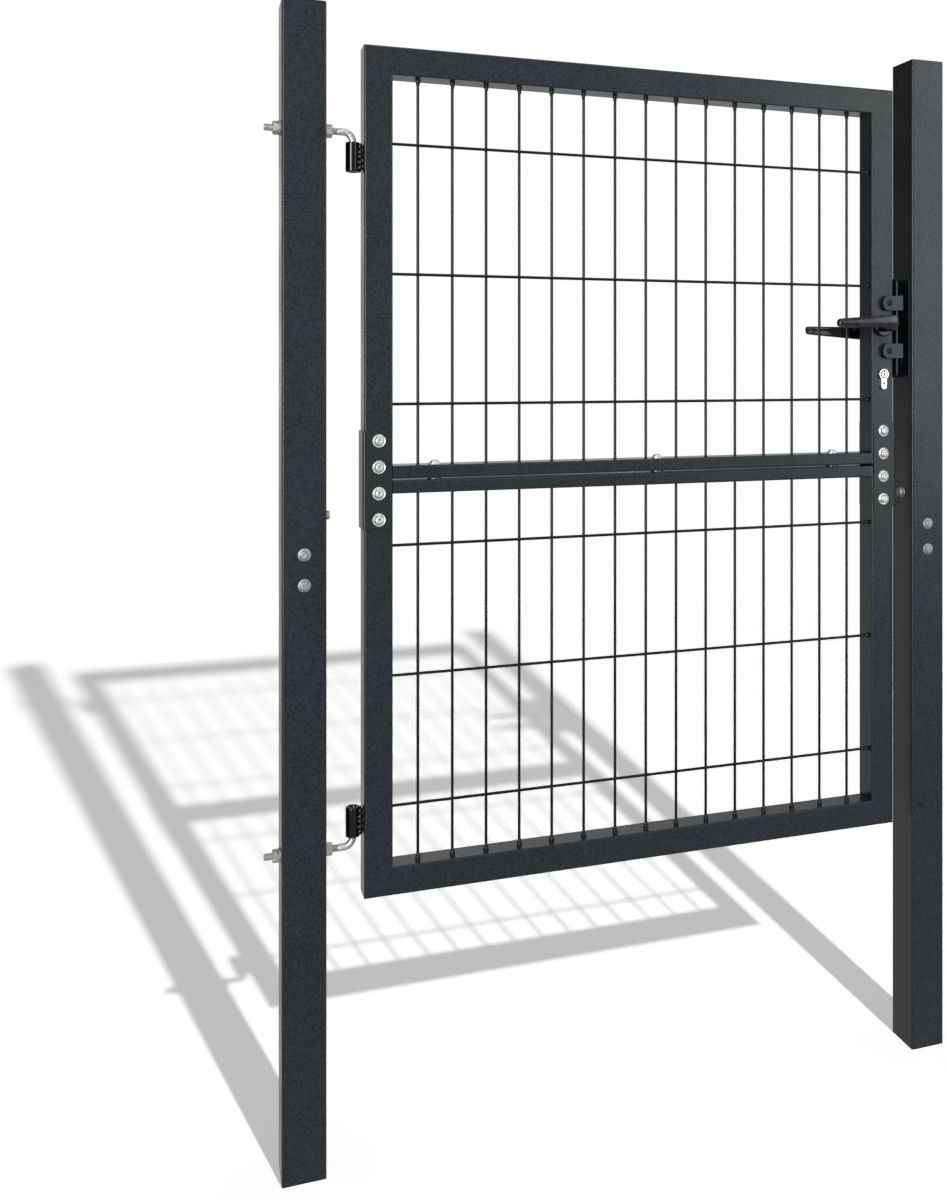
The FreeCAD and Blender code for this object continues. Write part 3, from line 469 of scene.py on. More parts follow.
finishes = {
    "powder_coat": powder_coat(),
    "mesh_wire": wire_coat(),
    "zinc": bright_zinc(),
    "stainless": brushed_stainless(),
    "nickel": satin_nickel(),
    "lever_metal": dark_lever(),
    "dark_screw": screw_steel(),
    "black_screw": black_screw(),
    "black_plastic": cap_plastic(),
    "rubber": buffer_rubber(),
}
gloss = gloss_coat()
galvanised = dull_zinc()
special = {
    "upper_hinge_barrel": gloss,
    "lower_hinge_barrel": gloss,
    "front_rose": gloss,
    "rear_rose": gloss,
    "upper_hinge_nuts": galvanised,
    "lower_hinge_nuts": galvanised,
    "upper_hinge_rod": galvanised,
    "lower_hinge_rod": galvanised,
}


def dress_nodes():
    """Every CAD node gets the finish of its slot, or its own."""
    for part in frame["record"]["subparts"]:
        name = part["node"]
        material = special.get(name, finishes[part["material_slot"]])
        mesh = nodes[name].data
        mesh.materials.clear()
        mesh.materials.append(material)


def make_piece(name, form, material, body, replaced=(), sharp=35.0):
    """An object from a bmesh, riding on a body."""
    bmesh.ops.recalc_face_normals(form, faces=form.faces)
    mesh = bpy.data.meshes.new(name)
    form.to_mesh(mesh)
    form.free()
    piece = bpy.data.objects.new(name, mesh)
    bpy.context.scene.collection.objects.link(piece)
    mesh.materials.append(material)
    mesh.shade_smooth()
    mesh.set_sharp_from_angle(angle=math.radians(sharp))
    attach(piece, body)
    if replaced:
        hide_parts(*replaced)


def join_rings(form, rings, bored=False):
    """A closed skin through rings of equal count, with flat ends or round a bore."""
    sides = len(rings[0])
    following = rings[1:] + rings[:1] if bored else rings[1:]
    for first, second in zip(rings, following):
        for step in range(sides):
            after = (step + 1) % sides
            form.faces.new((first[step], first[after], second[after], second[step]))
    if not bored:
        form.faces.new(list(reversed(rings[0])))
        form.faces.new(rings[-1])


def add_tube(form, points, radii, sides):
    """A closed tube through points in a plane of constant Y, with a radius at each point."""
    rings = []
    for index, point in enumerate(points):
        ahead = points[min(index + 1, len(points) - 1)]
        behind = points[max(index - 1, 0)]
        along = (ahead - behind).normalized()
        side = along.cross(Y_AXIS).normalized()
        ring = []
        for step in range(sides):
            angle = 2 * math.pi * step / sides
            offset = side * math.cos(angle) + Y_AXIS * math.sin(angle)
            ring.append(form.verts.new(point + offset * radii[index]))
        rings.append(ring)
    join_rings(form, rings)


def add_blob(form, centre, size, rng):
    """A small rounded lump, such as a drop of weld metal."""
    lump = bmesh.ops.create_icosphere(form, subdivisions=2, radius=1.0)["verts"]
    for vertex in lump:
        wobble = 1.0 + rng.uniform(-LUMP_WOBBLE, LUMP_WOBBLE)
        vertex.co = centre + Vector([vertex.co[axis] * size[axis] * wobble for axis in range(3)])


def add_drop(form, foot, turn, rng):
    """The drop of weld metal that runs a little way along a wire from the rail it ends on."""
    lean = rng.uniform(-DROP_LEAN, DROP_LEAN)
    for reach, width, length in DROP_LUMPS:
        place = foot + Vector((lean * reach, -DROP_FORWARD, turn * reach))
        add_blob(form, place, (width, width, length), rng)


def hexagon(angle):
    """How far a hexagon's edge lies from its middle at an angle, as a share of half its flats."""
    return 1 / math.cos((angle + math.pi / 6) % (math.pi / 3) - math.pi / 6)


def add_lathe(form, profile, base, axis, bored=False):
    """A turned form. Each profile step is a radius, a height and whether that ring is a hexagon."""
    side = axis.orthogonal().normalized()
    across = axis.cross(side)
    rings = []
    for radius, height, is_hexagon in profile:
        ring = []
        for step in range(LATHE_SIDES):
            angle = 2 * math.pi * step / LATHE_SIDES
            reach = radius * hexagon(angle) if is_hexagon else radius
            offset = side * math.cos(angle) + across * math.sin(angle)
            ring.append(form.verts.new(base + axis * height + offset * reach))
        rings.append(ring)
    join_rings(form, rings, bored)


def mesh_panel(node, first_row, turn):
    """Round wires for one welded panel, with a weld at each crossing and each end.

    The turn is 1 where the rail with the drops is below the panel, and -1 where it is above.
    """
    rng = random.Random(SEED)
    low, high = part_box(node)
    row_y = low.y + WIRE_RADIUS
    column_y = row_y + 2 * WIRE_RADIUS - WIRE_BITE
    middle = (low.x + high.x) / 2
    columns = [middle + COLUMN_PITCH * (index - (COLUMN_COUNT - 1) / 2) for index in range(COLUMN_COUNT)]
    rows = [low.z + first_row + ROW_PITCH * index for index in range(ROW_COUNT)]
    rail_z, bar_z = (low.z, high.z) if turn > 0 else (high.z, low.z)
    form = bmesh.new()
    welds = bmesh.new()
    for x in columns:
        ends = [Vector((x, column_y, low.z)), Vector((x, column_y, high.z))]
        add_tube(form, ends, [WIRE_SHOWN_RADIUS] * 2, WIRE_SIDES)
    for z in rows:
        ends = [Vector((low.x, row_y, z)), Vector((high.x, row_y, z))]
        add_tube(form, ends, [WIRE_SHOWN_RADIUS] * 2, WIRE_SIDES)
        for x in columns:
            add_blob(form, Vector((x, (row_y + column_y) / 2, z)), CROSSING_WELD, rng)
        add_blob(welds, Vector((low.x, row_y, z)), LEFT_END_WELD, rng)
        for reach, size in RIGHT_END_WELDS:
            drift = rng.uniform(-RIGHT_END_DRIFT, RIGHT_END_DRIFT)
            add_blob(welds, Vector((high.x - reach, row_y, z + drift)), size, rng)
    for x in columns:
        add_drop(welds, Vector((x, column_y, rail_z)), turn, rng)
        add_blob(welds, Vector((x, column_y, bar_z)), BAR_WELD, rng)
    make_piece(node + "_wires", form, finishes["mesh_wire"], "leaf", (node,))
    make_piece(node + "_weld_drops", welds, gloss, "leaf", sharp=180.0)


def rod_path(low, high, turn):
    """Centre line and radii of a hinge rod, threaded at its post end, bent into the barrel."""
    radius = (high.y - low.y) / 2
    middle = (high.y + low.y) / 2
    level = low.z + radius if turn > 0 else high.z - radius
    pin_x = high.x - radius
    nut_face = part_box("upper_hinge_nuts")[1].x
    thread_end = nut_face + THREAD_PAST_NUT
    points = []
    radii = []
    step = THREAD_PITCH / len(THREAD_WAVE)
    count = int((thread_end - low.x) / step)
    for index in range(count):
        points.append(Vector((low.x + index * step, middle, level)))
        chamfer = max(0.0, ROD_CHAMFER - index * step)
        radii.append(radius - THREAD_DEPTH * THREAD_WAVE[index % len(THREAD_WAVE)] - chamfer)
    points.append(Vector((thread_end + ROD_TIP, middle, level)))
    radii.append(radius)
    for index in range(ROD_BEND_STEPS + 1):
        angle = math.pi / 2 * index / ROD_BEND_STEPS
        points.append(Vector((pin_x - ROD_BEND + ROD_BEND * math.sin(angle), middle,
                              level + turn * (ROD_BEND - ROD_BEND * math.cos(angle)))))
        radii.append(radius)
    end = high.z if turn > 0 else low.z
    points.append(Vector((pin_x, middle, end - turn * ROD_TIP)))
    radii.append(radius)
    points.append(Vector((pin_x, middle, end)))
    radii.append(radius - ROD_TIP)
    return points, radii


def hinge_rod(node, turn):
    """A bent rod, threaded where it goes through its post. The turn is 1 where its pin points up."""
    low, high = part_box(node)
    points, radii = rod_path(low, high, turn)
    form = bmesh.new()
    add_tube(form, points, radii, ROD_SIDES)
    make_piece(node + "_threaded", form, galvanised, "posts", (node,), sharp=60.0)


def rounded_rim(radius, height, corner, turn):
    """Profile steps of a rounded outside rim, from the end face to the wall or back."""
    steps = []
    for index in range(RIM_STEPS + 1):
        angle = math.pi / 2 * index / RIM_STEPS
        steps.append((radius - corner + corner * math.sin(angle),
                      height + turn * (corner - corner * math.cos(angle)), False))
    return steps if turn > 0 else steps[::-1]


def hinge_barrel(node, rod):
    """A barrel with rounded rims round its bore, and the coat that ran into its mouth."""
    low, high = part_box(node)
    rod_low, rod_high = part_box(rod)
    bore = (rod_high.y - rod_low.y) / 2 + BARREL_PLAY
    mouth = bore + BARREL_MOUTH
    radius = (high.y - low.y) / 2
    middle = (low.y + high.y) / 2
    height = high.z - low.z
    profile = [(bore, BARREL_MOUTH_DEPTH, False), (mouth, 0.0, False)]
    profile += rounded_rim(radius, 0.0, BARREL_RIM, 1)
    profile += rounded_rim(radius, height, BARREL_RIM, -1)
    profile += [(mouth, height, False), (bore, height - BARREL_MOUTH_DEPTH, False)]
    form = bmesh.new()
    add_lathe(form, profile, Vector((low.x + radius, middle, low.z)), Z_AXIS, bored=True)
    make_piece(node + "_turned", form, gloss, "leaf", (node,), sharp=50.0)


def barrel_welds(node):
    """Two uneven columns of weld metal where a barrel meets the stile."""
    rng = random.Random(SEED + 1)
    low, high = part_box(node)
    middle = (low.y + high.y) / 2
    run = high.z - low.z - 2 * BARREL_WELD_END
    form = bmesh.new()
    for side in (-1, 1):
        for index in range(BARREL_WELD_ROWS):
            z = low.z + BARREL_WELD_END + run * index / (BARREL_WELD_ROWS - 1)
            swell = rng.uniform(*BARREL_WELD_SWELL)
            for inward, outward, drift, (across, deep, tall) in BARREL_LUMPS:
                place = Vector((high.x - inward, middle + side * outward, z + rng.uniform(-drift, drift)))
                add_blob(form, place, (across, deep * swell, tall * swell), rng)
    make_piece(node + "_weld_beads", form, gloss, "leaf", sharp=180.0)


def socket_head(radius, height, washer_radius, washer_height, socket_half, socket_depth):
    """Profile of a domed head with a hexagon socket, on its flange if that is wider."""
    crown = washer_height + height
    bottom = crown - socket_depth
    mouth = socket_half * SOCKET_MOUTH_SHARE
    steps = [(socket_half * SOCKET_MIDDLE_SHARE, bottom, False), (socket_half, bottom, True),
             (socket_half, crown - SOCKET_CHAMFER, True), (mouth, crown, False)]
    for index in range(1, DOME_STEPS):
        angle = math.pi / 2 * index / DOME_STEPS
        steps.append((mouth + (radius - mouth) * math.sin(angle),
                      washer_height + height * math.cos(angle), False))
    steps.append((radius, washer_height + HEAD_FOOT, False))
    if washer_radius > radius:
        groove = radius + (washer_radius - radius) * GROOVE_SHARE
        steps += [(groove, washer_height - GROOVE_DEPTH, False),
                  (washer_radius - 2 * FLANGE_SOFT, washer_height, False),
                  (washer_radius - FLANGE_SOFT / 2, washer_height - FLANGE_SOFT, False),
                  (washer_radius, washer_height / 2, False)]
    steps.append((max(radius, washer_radius), 0.0, False))
    return steps


def nut_end(washer_radius):
    """Profile of a washer, hexagon nut and the bolt's threaded end, standing on the surface."""
    top = WASHER_HEIGHT + NUT_HEIGHT
    edge = top - NUT_CHAMFER
    steps = [(washer_radius, 0.0, False), (washer_radius, WASHER_HEIGHT - WASHER_CHAMFER, False),
             (washer_radius - WASHER_CHAMFER, WASHER_HEIGHT, False),
             (NUT_HALF * NUT_FOOT_SHARE, WASHER_HEIGHT, False),
             (NUT_HALF, WASHER_HEIGHT + NUT_FOOT, True), (NUT_HALF, edge, True),
             (NUT_HALF * NUT_TOP_SHARE, top, False), (BOLT_RADIUS + BOLT_RIDGE, top, False),
             (BOLT_RADIUS - BOLT_PLAY, edge, False)]
    threaded = BOLT_PAST_NUT + NUT_CHAMFER - BOLT_RIDGE
    for index in range(BOLT_RIDGE_STEPS):
        ridge = 0.0 if index % 2 else BOLT_RIDGE
        steps.append((BOLT_RADIUS - ridge, edge + threaded * (index + 1) / BOLT_RIDGE_STEPS, False))
    steps.append((BOLT_RADIUS - BOLT_CHAMFER, top + BOLT_PAST_NUT, False))
    return steps


def sleeve_bolts(node):
    """Four bolts through a joining channel and the stile, with socket heads and nuts."""
    low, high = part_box(node)
    sleeve_low, sleeve_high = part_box(node.replace("_bolts", ""))
    centre_x = (low.x + high.x) / 2
    washer = (high.x - low.x) / 2
    first = low.z + washer
    pitch = (high.z - low.z - 2 * washer) / (SLEEVE_BOLT_COUNT - 1)
    head = socket_head(HEAD_RADIUS, SLEEVE_HEAD_HEIGHT, washer, WASHER_HEIGHT, SOCKET_HALF,
                       SLEEVE_SOCKET_DEPTH)
    form = bmesh.new()
    for index in range(SLEEVE_BOLT_COUNT):
        z = first + index * pitch
        add_lathe(form, head, Vector((centre_x, sleeve_low.y, z)), -Y_AXIS)
        add_lathe(form, nut_end(washer), Vector((centre_x, sleeve_high.y, z)), Y_AXIS)
    make_piece(node + "_heads", form, finishes["zinc"], "leaf", (node,))


def bar_bolts(node):
    """Bolts that pull the middle bars together: a head on the upper bar and a spacer in the gap."""
    low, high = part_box(node)
    washer = (high.y - low.y) / 2
    gap_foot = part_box("lower_mid_bar")[1].z
    gap_top, top = [corner.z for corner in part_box("upper_mid_bar")]
    middle_y = (low.y + high.y) / 2
    spread = (high.x - low.x) / 2 - washer
    centre = (high.x + low.x) / 2
    head = socket_head(HEAD_RADIUS, BAR_HEAD_HEIGHT, washer, WASHER_HEIGHT, SOCKET_HALF, BAR_SOCKET_DEPTH)
    spacer = [(washer, 0.0, False), (washer, gap_top - gap_foot, False)]
    form = bmesh.new()
    spacers = bmesh.new()
    for x in (centre - spread, centre + MIDDLE_BOLT_SHIFT, centre + spread):
        add_lathe(form, head, Vector((x, middle_y, top)), Z_AXIS)
        add_lathe(spacers, spacer, Vector((x, middle_y, gap_foot)), Z_AXIS)
    make_piece(node + "_heads", form, finishes["zinc"], "leaf", (node,))
    make_piece(node + "_spacers", spacers, finishes["dark_screw"], "leaf")


def post_screw_heads(node, inward):
    """Flanged button heads on a post: two in front and one on the side towards the leaf."""
    low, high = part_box(node)
    post_low, post_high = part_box(node.replace("_screws", "_upper"))
    flange = POST_SCREW_FLANGE[0][0]
    centre_x = (post_low.x + post_high.x) / 2
    middle_y = (post_low.y + post_high.y) / 2
    side_x = post_high.x if inward > 0 else post_low.x
    front = Vector((centre_x, post_low.y, low.z + flange))
    side = Vector((side_x, middle_y, high.z - flange))
    form = bmesh.new()
    for base, axis, extra in ((front, -Y_AXIS, 0.0), (front + Z_AXIS * POST_SCREW_PITCH, -Y_AXIS, 0.0),
                              (side, X_AXIS * inward, SIDE_SCREW_EXTRA)):
        top = POST_SCREW_HEIGHT + extra
        profile = [(radius, height, False) for radius, height in POST_SCREW_FLANGE]
        profile += [(radius, top - depth, False) for radius, depth in POST_SCREW_CROWN]
        add_lathe(form, profile, base, axis)
    make_piece(node + "_heads", form, finishes["dark_screw"], "posts", (node,))


def black_screw_heads(name, node, base, axis, head, profile):
    """Two blackened socket heads, one at each end of a node."""
    low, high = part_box(node)
    form = bmesh.new()
    for z in (low.z + head, high.z - head):
        add_lathe(form, profile, Vector((base.x, base.y, z)), axis)
    make_piece(name, form, finishes["black_screw"], "posts", (node,))


def strike_screw_heads():
    """The screws that hold the strike channel to the lock post, with their heads inside it."""
    low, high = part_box("strike_screws")
    head = (high.y - low.y) / 2
    base = Vector((low.x + STRIKE_HEAD_HEIGHT, (low.y + high.y) / 2, 0.0))
    profile = socket_head(head, STRIKE_HEAD_HEIGHT, head, 0.0, STRIKE_SOCKET_HALF, STRIKE_SOCKET_DEPTH)
    black_screw_heads("strike_socket_screws", "strike_screws", base, -X_AXIS, head, profile)


def buffer_screw_heads():
    """The small screws in the strike's ears, which hold the buffers."""
    low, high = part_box("buffer_screws")
    head = (high.x - low.x) / 2
    base = Vector(((low.x + high.x) / 2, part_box("strike_channel")[0].y, 0.0))
    profile = socket_head(head, BUFFER_HEAD_HEIGHT, head, 0.0, BUFFER_SOCKET_HALF, BUFFER_SOCKET_DEPTH)
    black_screw_heads("buffer_socket_screws", "buffer_screws", base, -Y_AXIS, head, profile)


def drawn_in(radius, past):
    """How far a round corner of that radius has drawn in, that far past where it starts."""
    past = max(0.0, past)
    return radius - math.sqrt(max(0.0, radius ** 2 - past ** 2))


def lever_sections():
    """Along the arm: place, outer face, top and bottom edge of each section."""
    elbow_start = LEVER_HEEL - LEVER_ELBOW
    tip_start = LEVER_TIP - LEVER_LENGTH
    stops = [LEVER_HEEL - LEVER_ELBOW * (1 - math.cos(math.pi / 2 * index / LEVER_STEPS))
             for index in range(LEVER_STEPS + 1)]
    stops += [-LEVER_LENGTH * index / LEVER_STEPS for index in range(1, LEVER_STEPS)]
    stops += [tip_start - LEVER_TIP * math.sin(math.pi / 2 * index / TIP_STEPS)
              for index in range(TIP_STEPS + 1)]
    sections = []
    for x in stops:
        along = max(0.0, -x / LEVER_LENGTH)
        outer = LEVER_THINS * along - LEVER_STAND_OFF - LEVER_THICKNESS
        outer += drawn_in(LEVER_ELBOW, x - elbow_start)
        top = LEVER_TOP - LEVER_NARROWS * along - drawn_in(HEEL_ROUND, x - (LEVER_HEEL - HEEL_ROUND))
        drop = drawn_in(LEVER_TIP, tip_start - x)
        sections.append((x, outer + drop, top - drop, LEVER_FOOT + TIP_FOOT_SHARE * drop))
    return sections


def lever_ring(form, section, inset):
    """One section's outline, with soft corners and a crowned outer face, drawn in by the inset."""
    x, outer, top, bottom = section
    inner = -LEVER_STAND_OFF
    crown = min(LEVER_CROWN, (inner - outer) * CROWN_SHARE)
    outer += crown
    soft = min(LEVER_SOFT, (inner - outer) * SOFT_SHARE, (top - bottom) * SOFT_SHARE)
    face_span = top - bottom - 2 * soft
    corners = ((inner - soft, top - soft), (outer + soft, top - soft),
               (outer + soft, bottom + soft), (inner - soft, bottom + soft))
    points = []
    for quarter, (y, z) in enumerate(corners):
        if quarter == 2:
            for step in range(1, LEVER_FACE_STEPS):
                share = step / LEVER_FACE_STEPS
                swell = crown * (1 - (2 * share - 1) ** 2)
                points.append((outer + inset - swell, top - soft - face_span * share))
        for step in range(CORNER_STEPS):
            angle = math.pi / 2 * (quarter + step / (CORNER_STEPS - 1))
            reach = soft - inset
            points.append((y + reach * math.cos(angle), z + reach * math.sin(angle)))
    return [form.verts.new(Vector((x, y, z))) for y, z in points]


def lever_piece(node, side):
    """A lever: a lofted arm with soft edges, on a turned neck. The one behind is turned over."""
    rose_low, rose_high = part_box("front_rose")
    pivot_x = (rose_low.x + rose_high.x) / 2
    pivot_z = (rose_low.z + rose_high.z) / 2
    face_y = rose_high.y if side < 0 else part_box("rear_rose")[0].y
    turned = Matrix.Rotation(0.0 if side < 0 else math.pi, 4, "X")
    place = Matrix.Translation(Vector((pivot_x, face_y, pivot_z))) @ turned
    form = bmesh.new()
    sections = lever_sections()
    ends = (sections[0][0], sections[-1][0])
    rings = []
    for section in sections:
        inset = LEVER_END_INSET if section[0] in ends else 0.0
        rings.append(lever_ring(form, section, inset))
    join_rings(form, rings)
    shoulder = LEVER_STAND_OFF + NECK_PAST_ARM
    profile = [(NECK_RADIUS, NECK_START, False), (NECK_RADIUS, shoulder, False)]
    for index in range(1, NECK_DOME_STEPS):
        angle = math.pi / 2 * index / NECK_DOME_STEPS
        profile.append((NECK_RADIUS * math.cos(angle), shoulder + NECK_RADIUS * math.sin(angle), False))
    add_lathe(form, profile, Vector((0, 0, 0)), -Y_AXIS)
    form.transform(place)
    make_piece(node + "_polished", form, finishes["lever_metal"], "handle", (node,),
               sharp=50.0)


def lock_face(side):
    """The key plug in the cylinder's end, with its slot, and black discs of painted shade for the gap
    round it and the well below.
    """
    low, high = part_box("lock_cylinder")
    head = (high.x - low.x) / 2
    centre = Vector(((low.x + high.x) / 2, low.y if side < 0 else high.y, high.z - head))
    name = "front" if side < 0 else "rear"
    start = math.asin(SLOT_HALF / PLUG_RADIUS)
    outline = []
    for index in range(PLUG_STEPS + 1):
        angle = math.pi / 2 + start + (2 * math.pi - 2 * start) * index / PLUG_STEPS
        outline.append((PLUG_RADIUS * math.cos(angle), PLUG_RADIUS * math.sin(angle)))
    outline += [(SLOT_HALF, SLOT_FOOT), (-SLOT_HALF, SLOT_FOOT)]
    plug = bmesh.new()
    rings = []
    for proud in (0.0, PLUG_PROUD):
        rings.append([plug.verts.new(centre + Vector((x, side * proud, z))) for x, z in outline])
    join_rings(plug, rings)
    make_piece(name + "_key_plug", plug, finishes["nickel"], "leaf")
    # Painted shade: thin black discs lie behind the plug and its slot and in the well, where the gap and
    # the well are in shade.
    gap = bmesh.new()
    ring = [(GAP_RADIUS, -GAP_SUNK, False), (GAP_RADIUS, GAP_PROUD, False), (GAP_MIDDLE, GAP_PROUD, False)]
    well = [(WELL_RADIUS, -GAP_SUNK, False), (WELL_RADIUS, GAP_SUNK, False),
            (WELL_MIDDLE, GAP_SUNK / 2, False)]
    add_lathe(gap, ring, centre, Y_AXIS * side)
    add_lathe(gap, well, centre - Z_AXIS * WELL_DROP, Y_AXIS * side)
    make_piece(name + "_key_gap_shade", gap, finishes["black_screw"], "leaf")


dress_nodes()
mesh_panel("lower_mesh", LOWER_FIRST_ROW, 1)
mesh_panel("upper_mesh", UPPER_FIRST_ROW, -1)
hinge_rod("upper_hinge_rod", -1)
hinge_rod("lower_hinge_rod", 1)
for hinge in ("upper_hinge", "lower_hinge"):
    hinge_barrel(hinge + "_barrel", hinge + "_rod")
    barrel_welds(hinge + "_barrel")
sleeve_bolts("left_sleeve_bolts")
sleeve_bolts("right_sleeve_bolts")
bar_bolts("mid_bar_bolts")
post_screw_heads("hinge_post_screws", 1)
post_screw_heads("lock_post_screws", -1)
buffer_screw_heads()
strike_screw_heads()
lever_piece("front_lever", -1)
lever_piece("rear_lever", 1)
lock_face(-1)
lock_face(1)


def add_camera():
    """A level camera, shifted as the photograph's frame is, so upright edges stay upright."""
    data = bpy.data.cameras.new("photo_camera")
    data.sensor_fit = "VERTICAL"
    data.sensor_height = SENSOR_HEIGHT
    data.lens = FOCAL_PIXELS / PHOTO_HEIGHT * SENSOR_HEIGHT
    data.shift_x = (PHOTO_WIDTH / 2 - PRINCIPAL_X) / PHOTO_HEIGHT
    data.shift_y = (PRINCIPAL_Y - PHOTO_HEIGHT / 2) / PHOTO_HEIGHT
    camera = bpy.data.objects.new("photo_camera", data)
    camera.location = CAMERA_PLACE
    camera.rotation_euler = (math.pi / 2, 0.0, -CAMERA_YAW)
    bpy.context.scene.collection.objects.link(camera)
    bpy.context.scene.camera = camera


def ray_switch(tree, names):
    """One where any of the named kinds of ray looks, else zero."""
    rays = tree.nodes.new("ShaderNodeLightPath")
    value = rays.outputs[names[0]]
    for name in names[1:]:
        both = tree.nodes.new("ShaderNodeMath")
        both.operation = "MAXIMUM"
        tree.links.new(value, both.inputs[0])
        tree.links.new(rays.outputs[name], both.inputs[1])
        value = both.outputs["Value"]
    return value


def ramp(tree, value, start, end, low, high):
    """The value moved smoothly from start..end to low..high."""
    node = tree.nodes.new("ShaderNodeMapRange")
    node.interpolation_type = "SMOOTHSTEP"
    node.inputs["From Min"].default_value = start
    node.inputs["From Max"].default_value = end
    node.inputs["To Min"].default_value = low
    node.inputs["To Max"].default_value = high
    tree.links.new(value, node.inputs["Value"])
    return node.outputs["Result"]


def math_node(tree, operation, value, second, third=0.0):
    """The value after one step of arithmetic with plain numbers."""
    node = tree.nodes.new("ShaderNodeMath")
    node.operation = operation
    tree.links.new(value, node.inputs[0])
    node.inputs[1].default_value = second
    node.inputs[2].default_value = third
    return node.outputs["Value"]


def distance_to(tree, place, target):
    """How far a shading point is from a fixed place."""
    node = tree.nodes.new("ShaderNodeVectorMath")
    node.operation = "DISTANCE"
    node.inputs[1].default_value = target
    tree.links.new(place, node.inputs[0])
    return node.outputs["Value"]


def blend_shaders(tree, value, first, second):
    """The first shader where the value is zero, the second where it is one."""
    node = tree.nodes.new("ShaderNodeMixShader")
    tree.links.new(value, node.inputs["Fac"])
    tree.links.new(first, node.inputs[1])
    tree.links.new(second, node.inputs[2])
    return node.outputs["Shader"]


def add_floor():
    """A floor that is white where light falls and far away, and grey in the gate's shadow."""
    form = bmesh.new()
    corners = ((-1, -1), (1, -1), (1, 1), (-1, 1))
    form.faces.new([form.verts.new((x * FLOOR_HALF, y * FLOOR_HALF, 0.0)) for x, y in corners])
    mesh = bpy.data.meshes.new("floor")
    form.to_mesh(mesh)
    form.free()
    floor = bpy.data.objects.new("floor", mesh)
    bpy.context.scene.collection.objects.link(floor)
    material = bpy.data.materials.new("pale_floor")
    material.use_nodes = True
    tree = material.node_tree
    tree.nodes.clear()
    output = tree.nodes.new("ShaderNodeOutputMaterial")
    place = tree.nodes.new("ShaderNodeTexCoord").outputs["Object"]
    plain = tree.nodes.new("ShaderNodeBsdfDiffuse")
    plain.inputs["Color"].default_value = (FLOOR_COLOUR, FLOOR_COLOUR, FLOOR_COLOUR, 1.0)
    lamp_distance = distance_to(tree, place, KEY_PLACE)
    cube = math_node(tree, "POWER", lamp_distance, 3.0)
    lamp_share = KEY_POWER * KEY_PLACE.z / (4 * math.pi ** 2)
    level = math_node(tree, "MULTIPLY", cube, (FLOOR_LIT - FLOOR_SHADED) / lamp_share)
    bright = tree.nodes.new("ShaderNodeBsdfDiffuse")
    tree.links.new(level, bright.inputs["Color"])
    lift = tree.nodes.new("ShaderNodeEmission")
    missing = math_node(tree, "MULTIPLY_ADD", level, -WORLD_ON_FLOOR, FLOOR_SHADED)
    tree.links.new(math_node(tree, "MAXIMUM", missing, 0.0), lift.inputs["Strength"])
    near = tree.nodes.new("ShaderNodeAddShader")
    tree.links.new(bright.outputs["BSDF"], near.inputs[0])
    tree.links.new(lift.outputs["Emission"], near.inputs[1])
    white = tree.nodes.new("ShaderNodeEmission")
    mirrored = tree.nodes.new("ShaderNodeEmission")
    far = ramp(tree, distance_to(tree, place, FLOOR_CENTRE), FLOOR_FADE_START, FLOOR_FADE_END, 0.0, 1.0)
    split = tree.nodes.new("ShaderNodeSeparateXYZ")
    tree.links.new(place, split.inputs["Vector"])
    mirrored_level = ramp(tree, split.outputs["Y"], *MIRRORED_FLOOR_BAND, MIRRORED_FRONT, MIRRORED_FLOOR)
    tree.links.new(mirrored_level, mirrored.inputs["Strength"])
    shown = blend_shaders(tree, far, near.outputs["Shader"], white.outputs["Emission"])
    shader = blend_shaders(tree, ray_switch(tree, ["Is Camera Ray"]), plain.outputs["BSDF"], shown)
    mirror = ray_switch(tree, ["Is Glossy Ray", "Is Transmission Ray"])
    shader = blend_shaders(tree, mirror, shader, mirrored.outputs["Emission"])
    tree.links.new(shader, output.inputs["Surface"])
    mesh.materials.append(material)


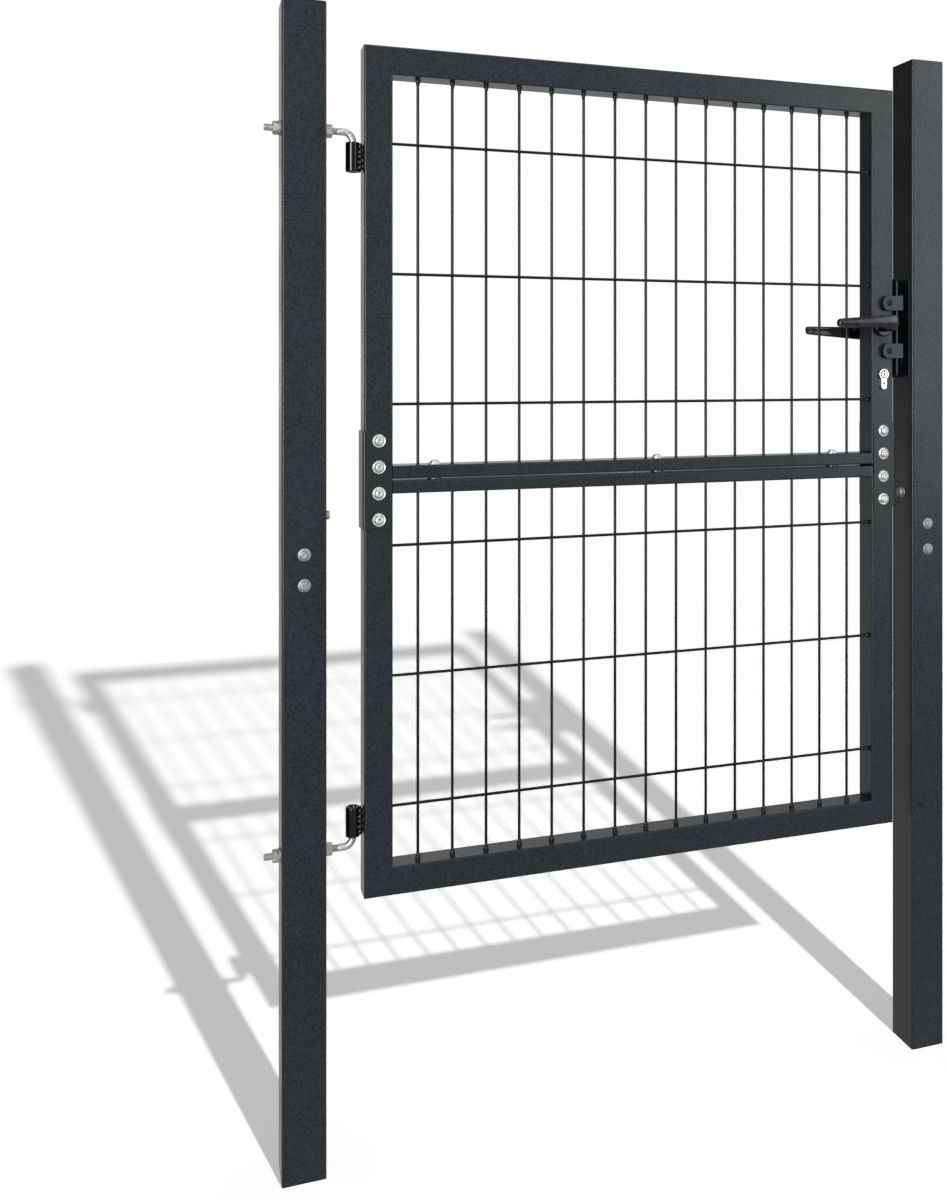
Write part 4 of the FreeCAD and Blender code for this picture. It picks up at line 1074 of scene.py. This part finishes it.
def add_world():
    """White to the camera. Its light comes from a low band all round, like pale studio walls.

    Reflections find it white behind the gate, dimmer in front and dark on the left.
    """
    world = bpy.data.worlds.new("studio")
    world.use_nodes = True
    bpy.context.scene.world = world
    tree = world.node_tree
    background = tree.nodes["Background"]
    background.inputs["Color"].default_value = (1.0, 1.0, 1.0, 1.0)
    split = tree.nodes.new("ShaderNodeSeparateXYZ")
    tree.links.new(tree.nodes.new("ShaderNodeTexCoord").outputs["Generated"], split.inputs["Vector"])
    behind = ramp(tree, split.outputs["Y"], *BEHIND_BAND, MIRRORED_FRONT, 1.0)
    flag = ramp(tree, split.outputs["X"], *FLAG_BAND, MIRRORED_FLAG, 1.0)
    product = tree.nodes.new("ShaderNodeMath")
    product.operation = "MULTIPLY"
    tree.links.new(behind, product.inputs[0])
    tree.links.new(flag, product.inputs[1])
    mirrored = product.outputs["Value"]
    strength = ramp(tree, split.outputs["Z"], *HORIZON_BAND, HORIZON_LEVEL, ZENITH_LEVEL)
    for names, level in ((["Is Glossy Ray", "Is Transmission Ray"], mirrored), (["Is Camera Ray"], 1.0)):
        choice = tree.nodes.new("ShaderNodeMix")
        tree.links.new(ray_switch(tree, names), choice.inputs["Factor"])
        for socket, value in ((choice.inputs["A"], strength), (choice.inputs["B"], level)):
            if isinstance(value, float):
                socket.default_value = value
            else:
                tree.links.new(value, socket)
        strength = choice.outputs["Result"]
    tree.links.new(strength, background.inputs["Strength"])


def add_lights():
    """One lamp in front that throws the shadow, and soft panels that only reflections show."""
    data = bpy.data.lights.new("key_lamp", "POINT")
    data.energy = KEY_POWER
    data.shadow_soft_size = KEY_RADIUS
    lamp = bpy.data.objects.new("key_lamp", data)
    lamp.location = KEY_PLACE
    lamp.visible_glossy = False
    bpy.context.scene.collection.objects.link(lamp)
    for name, place, target, width, height, radiance in SOFT_PANELS:
        data = bpy.data.lights.new(name, "AREA")
        data.shape = "RECTANGLE"
        data.size = width
        data.size_y = height
        data.energy = radiance * math.pi * width * height
        panel = bpy.data.objects.new(name, data)
        panel.location = Vector(place)
        panel.rotation_euler = (Vector(target) - panel.location).to_track_quat("-Z", "Y").to_euler()
        panel.visible_camera = False
        panel.visible_diffuse = False
        bpy.context.scene.collection.objects.link(panel)


add_camera()
add_floor()
add_world()
add_lights()
bpy.context.scene.view_settings.view_transform = "Standard"
